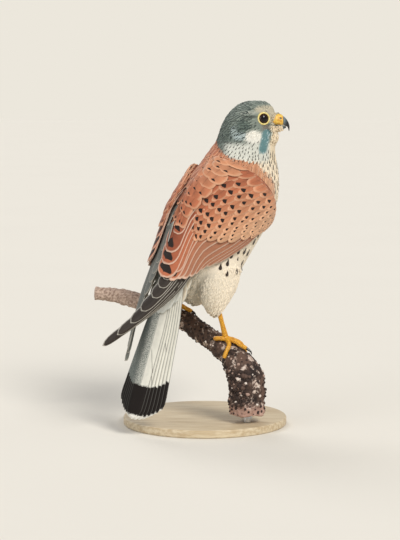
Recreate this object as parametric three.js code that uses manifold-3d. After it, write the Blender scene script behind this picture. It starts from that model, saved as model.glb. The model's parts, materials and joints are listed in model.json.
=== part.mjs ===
// Common kestrel, adult male, life size, standing on a cut length of branch above a plain display stand.
// Units are millimetres. +Z is up, +X is the way the bill points, and the bird's right side faces -Y.
// The origin is the centre of the stand's underside.
import * as THREE from "three";
import Module from "manifold-3d";

const wasm = await Module();
wasm.setup();

// Driving sizes
const gap = 0.3; // between neighbouring pieces
const bodyTurn = 38; // degrees, how far the body's heading turns away from the bill's
const bodyMiddleX = 18;
const eyeRadius = 6.3;
const tailLength = 166;
const tailWidth = 55;
const baseRadius = 82;
const baseThickness = 8;

const { cos, sin, sqrt, min, max, floor, PI, hypot, tan } = Math;
const radians = (degrees) => (degrees * PI) / 180;
const clamp = (x, low, high) => min(max(x, low), high);
const mix = (a, b, f) => a + (b - a) * f;
const smooth = (x) => {
  const f = clamp(x, 0, 1);
  return f * f * (3 - 2 * f);
};
const vec = (x, y, z) => new THREE.Vector3(x, y, z);

// Rows of numbers read as one smooth curve: u runs from 0 to rows.length - 1
function along(rows, u) {
  const last = rows.length - 1;
  const i = clamp(floor(u), 0, last - 1);
  const f = u - i;
  const row = (k) => rows[clamp(k, 0, last)];
  return rows[0].map((_, c) => {
    const [p, q, r, s] = [row(i - 1)[c], row(i)[c], row(i + 1)[c], row(i + 2)[c]];
    return q + 0.5 * f * (r - p + f * (2 * p - 5 * q + 4 * r - s + f * (3 * (q - r) + s - p)));
  });
}

// A closed skin over rings of points as a solid. Quads before the given one in each ring are split
// the other way, so that the two faces of a thin vane match.
function loft(rings, otherWay = 0) {
  const count = rings[0].length;
  const points = rings.flat();
  const middle = (ring) => ring.reduce((sum, p) => sum.add(p), vec(0, 0, 0)).divideScalar(count);
  const first = points.push(middle(rings[0])) - 1;
  const last = points.push(middle(rings.at(-1))) - 1;
  const index = [];
  for (let k = 0; k < count; k++) {
    const next = (k + 1) % count;
    index.push(first, next, k);
    const base = (rings.length - 1) * count;
    index.push(last, base + k, base + next);
    for (let i = 0; i < rings.length - 1; i++) {
      const [a, b] = [i * count + k, i * count + next];
      const [c, d] = [b + count, a + count];
      if (k < otherWay) index.push(a, b, d, b, c, d);
      else index.push(a, b, c, a, c, d);
    }
  }
  const geometry = new THREE.BufferGeometry().setFromPoints(points);
  geometry.setIndex(index);
  return solidOf(geometry);
}

function solidOf(geometry) {
  const vertProperties = new Float32Array(geometry.getAttribute("position").array);
  const triVerts = new Uint32Array(geometry.index.array);
  const make = () => new wasm.Manifold(new wasm.Mesh({ numProp: 3, vertProperties, triVerts }));
  if (make().volume() > 0) return make();
  for (let i = 0; i < triVerts.length; i += 3) triVerts.subarray(i, i + 2).reverse();
  return make();
}

const largest = (solid) =>
  solid.decompose().reduce((best, piece) => (piece.volume() > best.volume() ? piece : best));

const joined = (solids) => wasm.Manifold.union(solids);

// The bird's own directions: ahead, left and up, from the middle of the body
const turn = radians(bodyTurn);
const birdPoint = (ahead, left, z) =>
  vec(bodyMiddleX + ahead * cos(turn) - left * sin(turn), ahead * sin(turn) + left * cos(turn), z);

// Head, neck and torso: [height, rear x, front x, half width, turn of the section, narrowing to the face]
const bodyRows = [
  [324.2, 51, 51, 0.01, 0, 0.2],
  [323.2, 41.5, 61, 8.5, 0, 0.25],
  [320.6, 34.5, 65.5, 13.5, 0, 0.3],
  [316, 28, 70, 17.5, 0, 0.34],
  [310, 22.5, 71.5, 20, 0, 0.36],
  [303, 18, 72, 21.5, 0, 0.36],
  [294, 14.2, 72.8, 22, 0, 0.34],
  [285, 11.2, 72.3, 23.5, 0, 0.28],
  [276, 5, 71.5, 26.5, 12, 0.18],
  [266, -2, 72.5, 30.5, 24, 0.1],
  [254, -10, 74.5, 34.5, 33, 0.05],
  [240, -18, 75, 37, 38, 0],
  [224, -25, 73.5, 38, 38, 0],
  [207, -30, 68, 37.5, 38, 0],
  [190, -33, 58, 35.5, 38, 0],
  [173, -34, 47.5, 32, 38, 0],
  [157, -33, 38, 27, 38, 0],
  [143, -30, 28.5, 21, 38, 0],
  [131, -24, 16, 13.5, 38, 0],
  [123.5, -15, 2, 6, 38, 0],
  [121, -7, -7, 0.01, 38, 0],
];

function bodySection(z) {
  let low = 0;
  let high = bodyRows.length - 1;
  for (let k = 0; k < 24; k++) {
    const u = (low + high) / 2;
    if (along(bodyRows, u)[0] > z) low = u;
    else high = u;
  }
  return sectionAt(low);
}

function sectionAt(u) {
  const [z, rear, front, side, yaw, taper] = along(bodyRows, u);
  const reach = (front - rear) / 2;
  const x = (front + rear) / 2;
  const a = radians(yaw);
  const ahead = sqrt(max(reach ** 2 - (side * sin(a)) ** 2, 1e-4)) / cos(a);
  return { x, y: (x - bodyMiddleX) * tan(turn), z, ahead, side: max(side, 0.01), yaw: a, taper };
}

// A point on a body section. angle 0 is straight ahead and 90 degrees the bird's right side.
function sectionPoint(section, angle, lift) {
  const { x, y, z, ahead, side, yaw, taper } = section;
  const a = (ahead + lift) * cos(angle);
  const b = -(side + lift) * sin(angle) * (1 - taper * max(0, cos(angle)));
  return vec(x + a * cos(yaw) - b * sin(yaw), y + a * sin(yaw) + b * cos(yaw), z);
}

const bodyPoint = (z, degrees, lift) => sectionPoint(bodySection(z), radians(degrees), lift);

// Moves a point that lies inside the body, or nearer than lift, out of it
function clearOfBody(point, lift) {
  if (point.z > bodyRows[0][0] || point.z < bodyRows.at(-1)[0]) return point;
  const { x, y, ahead, side, yaw, taper } = bodySection(point.z);
  const dx = point.x - x;
  const dy = point.y - y;
  const a = dx * cos(yaw) + dy * sin(yaw);
  const b = dy * cos(yaw) - dx * sin(yaw);
  const length = hypot(a, b);
  const width = 1 - taper * max(0, a / length);
  const share = hypot(a / (ahead + lift), b / ((side + lift) * width));
  if (share >= 1) return point;
  return vec(x + dx / share, y + dy / share, point.z);
}

const bodySides = 24;
function bodySolid(lift) {
  const rings = [];
  const last = bodyRows.length - 1;
  const steps = 26;
  for (let i = 0; i <= steps; i++) {
    const section = sectionAt((i / steps) * last);
    section.z += lift * (1 - (2 * i) / steps);
    rings.push(
      Array.from({ length: bodySides }, (_, k) => sectionPoint(section, (2 * PI * k) / bodySides, lift)),
    );
  }
  return loft(rings);
}

// Nearly level planes part the body into head, neck and torso: [slope along x, height at x = 0]
const neckTop = [0.07, 287];
const neckBase = [0.265, 279.5];
function cutAcross(solid, [slope, height], keepAbove) {
  const n = vec(slope, 0, 1).normalize();
  const offset = height * n.z;
  return keepAbove
    ? solid.trimByPlane([n.x, n.y, n.z], offset + gap / 2)
    : solid.trimByPlane([-n.x, -n.y, -n.z], gap / 2 - offset);
}

// Bill: rings from [culmen x, z] to [edge x, z], with a half width
const faceY = (43 - bodyMiddleX) * tan(turn);
const upperBill = [
  [67, 309.8, 67, 298.7, 6.6],
  [71.5, 311, 71.5, 298.4, 6],
  [75.2, 310.4, 75, 298.2, 5.3],
  [78.6, 308.2, 78, 298.1, 4.5],
  [81.9, 304.8, 80.8, 298, 3.5],
  [84.2, 300.6, 82.6, 297.1, 2.3],
  [84.9, 296.5, 83.4, 295.3, 1.2],
  [84.5, 292.9, 84.1, 292.7, 0.3],
];
const lowerBill = [
  [67, 299, 67, 292, 5.4],
  [72, 299, 72, 292.8, 5],
  [76.5, 299, 76.3, 294.2, 4],
  [79.6, 298.6, 79.2, 295.3, 2.8],
  [81.4, 297.6, 81.2, 296.2, 1.2],
];
function billSolid(rows, steps, grow) {
  const sides = 12;
  const rings = [];
  for (let i = 0; i <= steps; i++) {
    const [x1, z1, x2, z2, wide] = along(rows, (i / steps) * (rows.length - 1));
    const middle = vec((x1 + x2) / 2, faceY, (z1 + z2) / 2);
    const up = vec(x1 - x2, 0, z1 - z2).divideScalar(2);
    up.setLength(up.length() + grow);
    rings.push(
      Array.from({ length: sides }, (_, k) => {
        const a = (2 * PI * k) / sides;
        return middle.clone().addScaledVector(up, cos(a)).add(vec(0, (wide + grow) * sin(a), 0));
      }),
    );
  }
  return loft(rings);
}
const cereEdge = 78.3;
const nostril = { x: 75.6, z: 305.4, radius: 1.1, deep: 2 };

// A round piece turned about an axis: profile of [radius, height along the axis]
function turned(profile, sides, centre, axis) {
  const geometry = new THREE.LatheGeometry(
    profile.map(([r, h]) => new THREE.Vector2(r, h)),
    sides,
  );
  geometry.deleteAttribute("normal");
  geometry.deleteAttribute("uv");
  const spin = new THREE.Quaternion().setFromUnitVectors(vec(0, 1, 0), axis.clone().normalize());
  geometry.applyQuaternion(spin).translate(centre.x, centre.y, centre.z);
  return solidOf(welded(geometry));
}

// Joins equal points and drops the triangles that this closes up
function welded(geometry) {
  const position = geometry.getAttribute("position");
  const ids = new Map();
  const points = [];
  const same = Array.from({ length: position.count }, (_, i) => {
    const p = vec(0, 0, 0).fromBufferAttribute(position, i);
    const key = [p.x, p.y, p.z].map((c) => Math.round(c * 1000)).join();
    if (!ids.has(key)) ids.set(key, points.push(p) - 1);
    return ids.get(key);
  });
  const index = [];
  for (let i = 0; i < geometry.index.count; i += 3) {
    const [a, b, c] = [0, 1, 2].map((k) => same[geometry.index.getX(i + k)]);
    if (a !== b && b !== c && a !== c) index.push(a, b, c);
  }
  const made = new THREE.BufferGeometry().setFromPoints(points);
  made.setIndex(index);
  return made;
}

function ball(centre, radius, across, around) {
  const geometry = new THREE.SphereGeometry(radius, around, across);
  return solidOf(welded(geometry.translate(centre.x, centre.y, centre.z)));
}

// Eyes with a ring of bare lid. side is -1 for the bird's right and 1 for its left.
const eyeSet = { x: 57.2, out: 9.5, z: 305.6 };
function eyePieces(side) {
  const centre = vec(eyeSet.x, faceY + side * eyeSet.out, eyeSet.z);
  const axis = vec(0.28, side * 0.95, 0.05).normalize();
  const opening = eyeRadius + gap;
  const socketWide = eyeRadius + 2 * gap;
  const seat = 2.4;
  const [inner, outer] = [4.8, 6.55];
  const rim = [
    [inner, sqrt(opening ** 2 - inner ** 2)],
    [5.6, 5.25],
    [outer, 4.5],
    [outer, seat],
    [sqrt(opening ** 2 - seat ** 2) + 0.05, seat],
  ];
  const hole = [
    [0, seat - gap],
    [socketWide + 0.05, seat - gap],
    [socketWide + 0.05, 12],
    [0, 12],
  ];
  return {
    eye: ball(centre, eyeRadius, 8, 14),
    lid: turned([...rim, rim[0]], 16, centre, axis),
    socket: joined([ball(centre, opening + 0.1, 8, 14), turned(hole, 16, centre, axis)]),
  };
}

// Thighs: [height, rear x, front x, half width], for the right leg
const thighRows = [
  [176, 6, 32, 9],
  [163, 0, 37, 14.5],
  [150, -6.5, 35.5, 15.5],
  [140, -8, 33, 15],
  [130, -6.5, 28, 13],
  [121, -2, 22.5, 9.5],
  [115, 4, 18, 6.2],
  [112.5, 8.5, 15, 3.3],
];
// side, the leg's distance from the middle, and how far the foot is raised and set back
const legs = {
  right: { side: -1, out: 20, rise: 0, back: 0 },
  left: { side: 1, out: 19, rise: 23, back: 20 },
};
const thighTop = thighRows[0][0];
const thighBase = thighRows.at(-1)[0];

function thighSolid({ side, out, rise, back }, grow) {
  const rings = [];
  for (let i = 0; i <= 12; i++) {
    const [z, rear, front, wide] = along(thighRows, (i / 12) * (thighRows.length - 1));
    const down = (thighTop - z) / (thighTop - thighBase);
    const middle = ((rear + front) / 2 - bodyMiddleX - out * sin(turn)) / cos(turn) - back * down;
    const ahead = (front - rear) / 2 / cos(turn) - 3;
    rings.push(
      Array.from({ length: 16 }, (_, k) => {
        const a = (2 * PI * k) / 16;
        return birdPoint(
          middle + (ahead + grow) * cos(a),
          side * out + (wide + grow) * sin(a),
          z + rise * down + grow * (1 - i / 6),
        );
      }),
    );
  }
  return loft(rings);
}

// Branch: centre line with a radius, from the broken foot to the far end
const branchRows = [
  [41.5, -38, 16, 17.5],
  [41.5, -38, 30, 17.5],
  [41.5, -37.5, 42, 18],
  [40, -36, 53, 18],
  [35, -31.5, 62.5, 16],
  [28, -25, 70, 13.3],
  [20, -18, 76.6, 11.6],
  [8, -8, 85, 10.6],
  [-8, 3, 95, 10.2],
  [-30, 14, 107, 9.6],
  [-66, 26, 120.5, 8.6],
  [-92, 30, 126, 7.6],
  [-112, 32, 128, 7],
];
const branchSides = 14;
// Radius of the bark at a place along the branch and round it, with ridges and knobs
function barkRadius(u, angle, radius) {
  const knob = sin(3.1 * u + 2 * angle) * sin(1.7 * u - 3 * angle + 1);
  const ridge = sin(5 * angle + 0.9 * u) * 0.5;
  return radius * (1 + 0.055 * knob + 0.025 * ridge);
}
function branchFrame(u) {
  const [x, y, z, radius] = along(branchRows, u);
  const after = along(branchRows, min(u + 0.05, branchRows.length - 1));
  const before = along(branchRows, max(u - 0.05, 0));
  const way = vec(after[0] - before[0], after[1] - before[1], after[2] - before[2]).normalize();
  const across = vec(0.4, 0.9, 0).addScaledVector(way, -vec(0.4, 0.9, 0).dot(way)).normalize();
  return { centre: vec(x, y, z), across, top: across.clone().cross(way), radius };
}
// Distance along the branch at each row, and the row number at a distance
const branchWay = branchRows.reduce((way, row, i) => {
  const before = branchRows[max(i - 1, 0)];
  return [...way, (way.at(-1) ?? 0) + vec(...row).distanceTo(vec(...before))];
}, []);
function rowAt(distance) {
  const i = branchWay.findLastIndex((d, k) => d <= distance && k < branchWay.length - 1);
  return i + (distance - branchWay[i]) / (branchWay[i + 1] - branchWay[i]);
}
// angle 0 is the top of the branch and 90 degrees its side towards -Y
function barkPoint(u, degrees, lift) {
  const { centre, across, top, radius } = branchFrame(u);
  const a = radians(degrees);
  const r = barkRadius(u, a, radius) + lift;
  return centre.clone().addScaledVector(top, r * cos(a)).addScaledVector(across, -r * sin(a));
}
function branchSolid(grow) {
  const rings = [];
  const steps = 28;
  for (let i = 0; i <= steps; i++) {
    const u = (i / steps) * (branchRows.length - 1);
    rings.push(
      Array.from({ length: branchSides }, (_, k) => barkPoint(u, (360 * k) / branchSides, grow)),
    );
  }
  return loft(rings).trimByPlane([0, 0, 1], branchRows[0][2]);
}

// A bent tube through points, each with its own radius
function tube(points, radii, sides) {
  const steps = points.length - 1;
  const line = new THREE.CatmullRomCurve3(points);
  const frames = line.computeFrenetFrames(steps, false);
  const rings = points.map((_, i) => {
    const centre = line.getPoint(i / steps);
    return Array.from({ length: sides }, (_, k) => {
      const a = (2 * PI * k) / sides;
      return centre
        .clone()
        .addScaledVector(frames.normals[i], radii[i] * cos(a))
        .addScaledVector(frames.binormals[i], radii[i] * sin(a));
    });
  });
  return loft(rings);
}

// Toes: places on the bark as [millimetres along the branch from the ankle, degrees round it], out to
// the claw's root and then along the claw. Minus is towards the broken foot of the branch.
const toes = {
  hind: {
    thick: 2.5, path: [[0, 14], [4, 30], [9, 46], [13, 60]],
    claw: [[15.4, 74], [16.3, 90]],
  },
  outer: {
    thick: 2.3, path: [[0, 14], [-4, 40], [-8, 67], [-11, 92]],
    claw: [[-12.4, 108], [-13, 123]],
  },
  middle: {
    thick: 2.4, path: [[0, 14], [-5.5, 8], [-11, 3], [-16, -2]],
    claw: [[-19.6, -7], [-21.6, -12]],
  },
  inner: {
    thick: 2.3, path: [[0, 14], [-4, -12], [-8, -34], [-11, -58]],
    claw: [[-12.6, -74], [-13.4, -90]],
  },
};
const feet = {
  right: { along: 72, ankle: [20.5, -23.2, 90] },
  left: { along: 144, ankle: [-34, 11.1, 120.1] },
};

// The middle of a toe from the ankle to the claw, and of the claw that follows it
function toeLines(name, { path, thick, claw }) {
  const { along: start, ankle } = feet[name];
  const onBark = ([forward, degrees], lift) => barkPoint(rowAt(start + forward), degrees, lift);
  const skin = path.map((place, i) => onBark(place, thick * (1 - 0.09 * i) + 0.7));
  skin[0] = vec(...ankle);
  const toe = new THREE.CatmullRomCurve3(skin).getPoints(6);
  const bend = claw.map((place, i) => onBark(place, i ? 0.5 : 2.2));
  return { toe, hook: new THREE.CatmullRomCurve3([toe.at(-1), ...bend]).getPoints(6) };
}
function footSolid(name, grow) {
  const solids = [ball(vec(...feet[name].ankle), 3.3 + grow, 6, 8)];
  for (const shape of Object.values(toes)) {
    const { toe } = toeLines(name, shape);
    const swell = toe.map((_, i) => shape.thick * (1 - 0.035 * i) * (i % 2 ? 1.06 : 0.94) + grow);
    solids.push(tube(toe, swell, 6));
  }
  return joined(solids);
}
function clawSolid(name, shape, grow) {
  const { hook } = toeLines(name, shape);
  return tube(hook, hook.map((_, i) => mix(1.55, 0.25, (i / 6) ** 1.2) + grow), 6);
}

// Tarsus: from the foot's ankle ball up into the thigh
function tarsusSolid(name) {
  const root = vec(...feet[name].ankle);
  const { out, side, rise, back } = legs[name];
  const knee = birdPoint(-22 - back, side * out, 120 + rise);
  const top = knee.clone().addScaledVector(knee.clone().sub(root), 0.12);
  const points = [0, 0.2, 0.45, 0.7, 0.9, 1].map((f) => root.clone().lerp(top, f));
  return tube(points, [2.9, 2.5, 2.1, 2.2, 2.6, 2.8], 10);
}

// Wings. The sheet is a grid of points: rows run from the front edge to the tip,
// and each row from the lower edge to the upper one.
// Rows on the body are [height, degrees round the body]; rows of the blade are [ahead, left, height].
const wingOnBody = [
  [[203, 44], [224, 56], [248, 88], [269, 138]],
  [[190, 74], [211, 92], [239, 122], [258, 166]],
  [[174, 104], [196, 119], [219, 143], [237, 175]],
  [[162, 134], [181, 147], [199, 161], [213, 177]],
];
const wingBlade = [
  [[-72, -31, 138], [-78, -29, 148], [-82, -20, 157], [-84, -7, 163]],
  [[-112, -17, 112], [-113, -17, 117], [-114, -13, 121], [-115, -6, 125]],
  [[-148, 0, 88], [-148.5, -0.5, 90], [-149, -0.5, 92], [-149.5, 0, 94]],
];
// Each wing's blade turns about its wrist towards the tail: degrees, and how far it leans out
const wings = {
  right: { side: -1, drop: 0, out: 0 },
  left: { side: 1, drop: 15, out: 12 },
};
const wristPoint = [-25, 180];

function wingSheet({ side, drop, out }) {
  const rows = wingOnBody.map((row) =>
    row.flatMap(([z, degrees]) => bodyPoint(z, -side * degrees, 1.5).toArray()),
  );
  wingBlade.forEach((row, i) => {
    const share = [0.5, 0.8, 1][i];
    const a = radians(drop * share);
    rows.push(
      row.flatMap(([ahead, left, z]) => {
        const dx = ahead - wristPoint[0];
        const dz = z - wristPoint[1];
        const shrink = 1 - 0.086 * share * (drop > 0);
        return birdPoint(
          wristPoint[0] + (dx * cos(a) - dz * sin(a)) * shrink,
          side * (-left + out * share),
          wristPoint[1] + (dz * cos(a) + dx * sin(a)) * shrink,
        ).toArray();
      }),
    );
  });
  const at = (s, t) => {
    const row = along(rows, clamp(s, -0.08, 1) * (rows.length - 1));
    const columns = [0, 3, 6, 9].map((k) => row.slice(k, k + 3));
    return clearOfBody(vec(...along(columns, t * 3)), 1.2);
  };
  const normal = (s, t) => {
    const e = 0.02;
    const ds = at(min(s + e, 1), t).sub(at(min(s, 1 - e), t));
    const dt = at(s, clamp(t + e, 0, 1)).sub(at(s, clamp(t - e, 0, 1)));
    return ds.cross(dt).multiplyScalar(side).normalize();
  };
  // A point x millimetres across from t, raised by h. It may pass the lower edge but not the upper one,
  // where the two wings meet on the back.
  const near = (s, t, x, h) => {
    const wide = at(s, 1).distanceTo(at(s, 0)) + 1;
    const aim = min(t + x / wide, 0.99);
    const edge = max(aim, 0);
    const p = at(s, edge);
    if (aim < 0) {
      const inner = at(s, 0.06);
      p.addScaledVector(p.clone().sub(inner).normalize(), -aim * wide);
    }
    return p.addScaledVector(normal(s, edge), h);
  };
  return { at, normal, near };
}

// A feather vane on the points place(f, x, h): f runs from root to tip, x across and h outwards
const wingOutline = [[0, 0.6], [0.45, 1], [0.84, 0.9], [1, 0.25]];
const tailOutline = [[0, 0.6], [0.45, 1], [0.93, 0.95], [1, 0.45]];
const vaneThickness = 0.55;
function vane(place, wide, outline) {
  const h = vaneThickness;
  const section = [[-1, 0], [1, 0], [1, h], [-1, h]];
  const rings = outline.map(([f, w]) => section.map(([x, up]) => place(f, x * w * wide, up)));
  return loft(rings, 1);
}

// Thickness of the wing's arm and folded hand over the sheet, before its vanes
const armEnd = 0.56;
function armHeight(s, t) {
  const edge = sqrt(max(0, 1 - (2 * t - 1) ** 4));
  return 0.4 + (4.6 - 4 * smooth(s / armEnd)) * edge * smooth(s * 7 + 0.25);
}
function armSolid(sheet) {
  const [ns, nt] = [7, 4];
  const rings = [];
  for (let i = 0; i <= ns; i++) {
    const s = (i / ns) * armEnd;
    const top = [];
    const under = [];
    for (let k = 0; k <= nt; k++) {
      const t = mix(0.02, 0.98, k / nt);
      const p = sheet.at(s, t);
      const n = sheet.normal(s, t);
      top.push(p.clone().addScaledVector(n, armHeight(s, t)));
      under.push(p.addScaledVector(n, s < 0.4 ? -2.5 : -0.4));
    }
    rings.push([...top, ...under.reverse()]);
  }
  return loft(rings);
}

// Tiers of wing feathers: how many, the width of each side, and for the first and the last of them
// the place of the root and of the tip as [along the wing, across it]. low and high are the height of
// the tip over the sheet for the first and the last.
const tiers = [
  {
    count: 6, wide: 7.5, root: [[0.42, 0.16], [0.42, 0.8]], tip: [[1, 0.42], [0.7, 0.9]],
    high: [-2, 2], lean: 0,
  },
  {
    count: 5, wide: 9.5, root: [[0.27, 0.1], [0.26, 0.7]], tip: [[0.52, 0.08], [0.645, 0.76]],
    high: [1.6, 3.6], lean: 0.06,
  },
  {
    count: 2, wide: 9, root: [[0.27, 0.82], [0.24, 0.94]], tip: [[0.66, 0.84], [0.55, 0.94]],
    high: [5, 6], lean: 0,
  },
  {
    count: 5, wide: 9.5, root: [[0.13, 0.08], [0.18, 0.76]], tip: [[0.37, 0.08], [0.5, 0.8]],
    high: [3.8, 5.6], lean: 0.07,
  },
  {
    count: 4, wide: 10, root: [[0.03, 0.18], [0.06, 0.76]], tip: [[0.25, 0.12], [0.38, 0.78]],
    high: [6, 7.4], lean: 0.07,
  },
  {
    count: 3, wide: 8.5, root: [[0.01, 0.74], [0.24, 0.9]], tip: [[0.2, 0.8], [0.46, 0.95]],
    high: [7.6, 9.6], lean: 0,
  },
];

function wingVanes(sheet) {
  const solids = [];
  for (const { count, wide, root, tip, high, lean } of tiers) {
    for (let i = 0; i < count; i++) {
      const g = i / (count - 1);
      const from = [0, 1].map((k) => mix(root[0][k], root[1][k], g));
      const to = [0, 1].map((k) => mix(tip[0][k], tip[1][k], g));
      const sunk = armHeight(from[0], from[1]) - 1.3;
      const place = (f, x, h) => {
        const lift = mix(sunk, mix(high[0], high[1], g), smooth(f * 2.4)) + h - lean * x;
        return sheet.near(mix(from[0], to[0], f), mix(from[1], to[1], f), x, lift);
      };
      solids.push(vane(place, wide, wingOutline));
    }
  }
  return solids;
}

// Tail: root, way and the turn of its blade about its own length
const tailRoot = [-53, 0, 172];
const tailLean = 18.8;
const tailTwist = 58;
function tailPoint(down, left, lift) {
  const root = birdPoint(...tailRoot);
  const a = radians(tailLean);
  const way = birdPoint(-sin(a), 0, -cos(a)).sub(birdPoint(0, 0, 0));
  const t = radians(tailTwist);
  const flat = vec(-sin(t), cos(t), 0);
  const side = flat.addScaledVector(way, -flat.dot(way)).normalize();
  const upper = side.clone().cross(way).normalize();
  return root.addScaledVector(way, down).addScaledVector(side, left).addScaledVector(upper, lift);
}
// The root of the tail with its coverts, from inside the rump outwards
function tailRump() {
  const rings = [];
  for (let i = 0; i <= 8; i++) {
    const f = i / 8;
    const half = mix(12, 15.5, f) * (i === 8 ? 0.6 : 1);
    const thick = mix(9, 4.2, smooth(f)) * (i === 8 ? 0.6 : 1);
    rings.push(
      Array.from({ length: 12 }, (_, k) => {
        const a = (2 * PI * k) / 12;
        return tailPoint(mix(-22, 44, f), half * cos(a), 3.6 + thick * sin(a));
      }),
    );
  }
  return loft(rings);
}
// Tail feathers: the middle pair lies uppermost, and the outer ones are shorter
const tailFeathers = 12;
const tailVaneHalf = 9;
const tailLayer = 0.7;
const outerShorter = 12;
function tailVanes() {
  return Array.from({ length: tailFeathers }, (_, i) => {
    const from = (2 * i) / (tailFeathers - 1) - 1;
    const layer = 2 * min(i, tailFeathers - 1 - i) + (i * 2 >= tailFeathers ? 1 : 0);
    const long = tailLength - outerShorter * from ** 2;
    const spread = tailWidth / 2 - tailVaneHalf;
    const place = (f, x, h) => tailPoint(f * long, from * mix(4, spread, f) + x, layer * tailLayer + h);
    return vane(place, tailVaneHalf, tailOutline);
  });
}

// Putting the solids together
const pieces = {};
const body = bodySolid(0);
const bodyRoom = bodySolid(gap + 0.05);
const branch = branchSolid(0);
const branchRoom = branchSolid(gap);

const bill = billSolid(upperBill, 12, 0);
const billRoom = billSolid(upperBill, 12, gap);
const chinRoom = billSolid(lowerBill, 5, gap);
let head = cutAcross(body, neckTop, true);
for (const [name, side] of [["right", -1], ["left", 1]]) {
  const { eye, lid, socket } = eyePieces(side);
  pieces["eye_" + name] = eye;
  pieces["lid_" + name] = lid;
  head = head.subtract(socket);
}
pieces.head = head.subtract(billRoom).subtract(chinRoom);
const nostrils = [-1, 1].map((side) =>
  turned(
    [[0, 0], [nostril.radius, 0], [nostril.radius, 9], [0, 9]],
    8,
    vec(nostril.x, faceY + side * nostril.deep, nostril.z),
    vec(0, side, 0.2),
  ),
);
pieces.cere = bill.trimByPlane([-1, 0, 0], gap / 2 - cereEdge).subtract(joined(nostrils));
pieces.bill_upper = bill.trimByPlane([1, 0, 0], cereEdge + gap / 2);
pieces.bill_lower = billSolid(lowerBill, 5, 0).subtract(billRoom);
pieces.neck = cutAcross(cutAcross(body, neckTop, false), neckBase, true);

const thighRoom = [];
for (const name of ["right", "left"]) {
  const thigh = thighSolid(legs[name], 0);
  const tarsus = tarsusSolid(name);
  let foot = footSolid(name, 0);
  for (const [toe, shape] of Object.entries(toes)) {
    foot = foot.subtract(clawSolid(name, shape, gap));
    pieces["claw_" + toe + "_" + name] = clawSolid(name, shape, 0).subtract(branchRoom);
  }
  pieces["foot_" + name] = foot.subtract(branchRoom);
  const room = thighSolid(legs[name], gap);
  pieces["tarsus_" + name] = tarsus.subtract(footSolid(name, gap)).subtract(room);
  thighRoom.push(room);
  pieces["thigh_" + name] = thigh.subtract(bodyRoom);
}
pieces.torso = cutAcross(body, neckBase, false);
pieces.tail = joined([tailRump(), ...tailVanes()]).subtract(bodyRoom);
for (const [name, wing] of Object.entries(wings)) {
  const sheet = wingSheet(wing);
  const feathered = joined([armSolid(sheet), ...wingVanes(sheet)]);
  pieces["wing_" + name] = feathered.subtract(joined([bodyRoom, ...thighRoom]));
}
pieces.perch = branch;

const baseTop = baseThickness;
const rodRadius = 5;
pieces.stand_base = turned(
  [
    [0, 0], [baseRadius - 1.5, 0], [baseRadius, 1.5],
    [baseRadius, baseTop - 2], [baseRadius - 2, baseTop], [0, baseTop],
  ],
  40,
  vec(0, 0, 0),
  vec(0, 0, 1),
);
pieces.stand_rod = turned(
  [
    [0, 0], [rodRadius, 0],
    [rodRadius, branchRows[0][2] - baseTop - 2 * gap], [0, branchRows[0][2] - baseTop - 2 * gap],
  ],
  20,
  vec(branchRows[0][0], branchRows[0][1], baseTop + gap),
  vec(0, 0, 1),
);

const finishes = {
  slate: { color: 0x7f8f92, roughness: 0.8 },
  cream: { color: 0xe6d9bf, roughness: 0.85 },
  chestnut: { color: 0xb0623a, roughness: 0.8 },
  grey: { color: 0xb9beb9, roughness: 0.75 },
  yellow: { color: 0xe0a52a, roughness: 0.5 },
  horn: { color: 0x39434b, roughness: 0.35 },
  claw: { color: 0x1d1a18, roughness: 0.35 },
  eye: { color: 0x150d08, roughness: 0.05 },
  bark: { color: 0x4a3a31, roughness: 0.95 },
  board: { color: 0xcdb48c, roughness: 0.55 },
  steel: { color: 0x9a9a9a, roughness: 0.35, metalness: 0.9 },
};
const finishOf = (name) =>
  [
    [/^head|^neck/, "slate"],
    [/^torso|^thigh/, "cream"],
    [/^wing/, "chestnut"],
    [/^tail/, "grey"],
    [/^cere|^lid|^tarsus|^foot/, "yellow"],
    [/^bill/, "horn"],
    [/^claw/, "claw"],
    [/^eye/, "eye"],
    [/^perch/, "bark"],
    [/^stand_base/, "board"],
    [/^stand_rod/, "steel"],
  ].find(([pattern]) => pattern.test(name))[1];

const kestrel = new THREE.Group();
for (const [name, solid] of Object.entries(pieces)) {
  const { vertProperties, triVerts, numProp } = largest(solid).getMesh();
  const position = new Float32Array((vertProperties.length / numProp) * 3);
  for (let i = 0; i < position.length / 3; i++)
    position.set(vertProperties.subarray(i * numProp, i * numProp + 3), i * 3);
  const geometry = new THREE.BufferGeometry();
  geometry.setAttribute("position", new THREE.BufferAttribute(position, 3));
  geometry.setIndex(new THREE.BufferAttribute(new Uint32Array(triVerts), 1));
  const mesh = new THREE.Mesh(geometry, new THREE.MeshStandardMaterial(finishes[finishOf(name)]));
  mesh.name = name;
  kestrel.add(mesh);
}

export default kestrel;
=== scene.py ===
# Common kestrel, adult male: plumage, bare parts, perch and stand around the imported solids.
# Places are in millimetres until a mesh is made; the scene itself is in metres.
import json
import math

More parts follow.
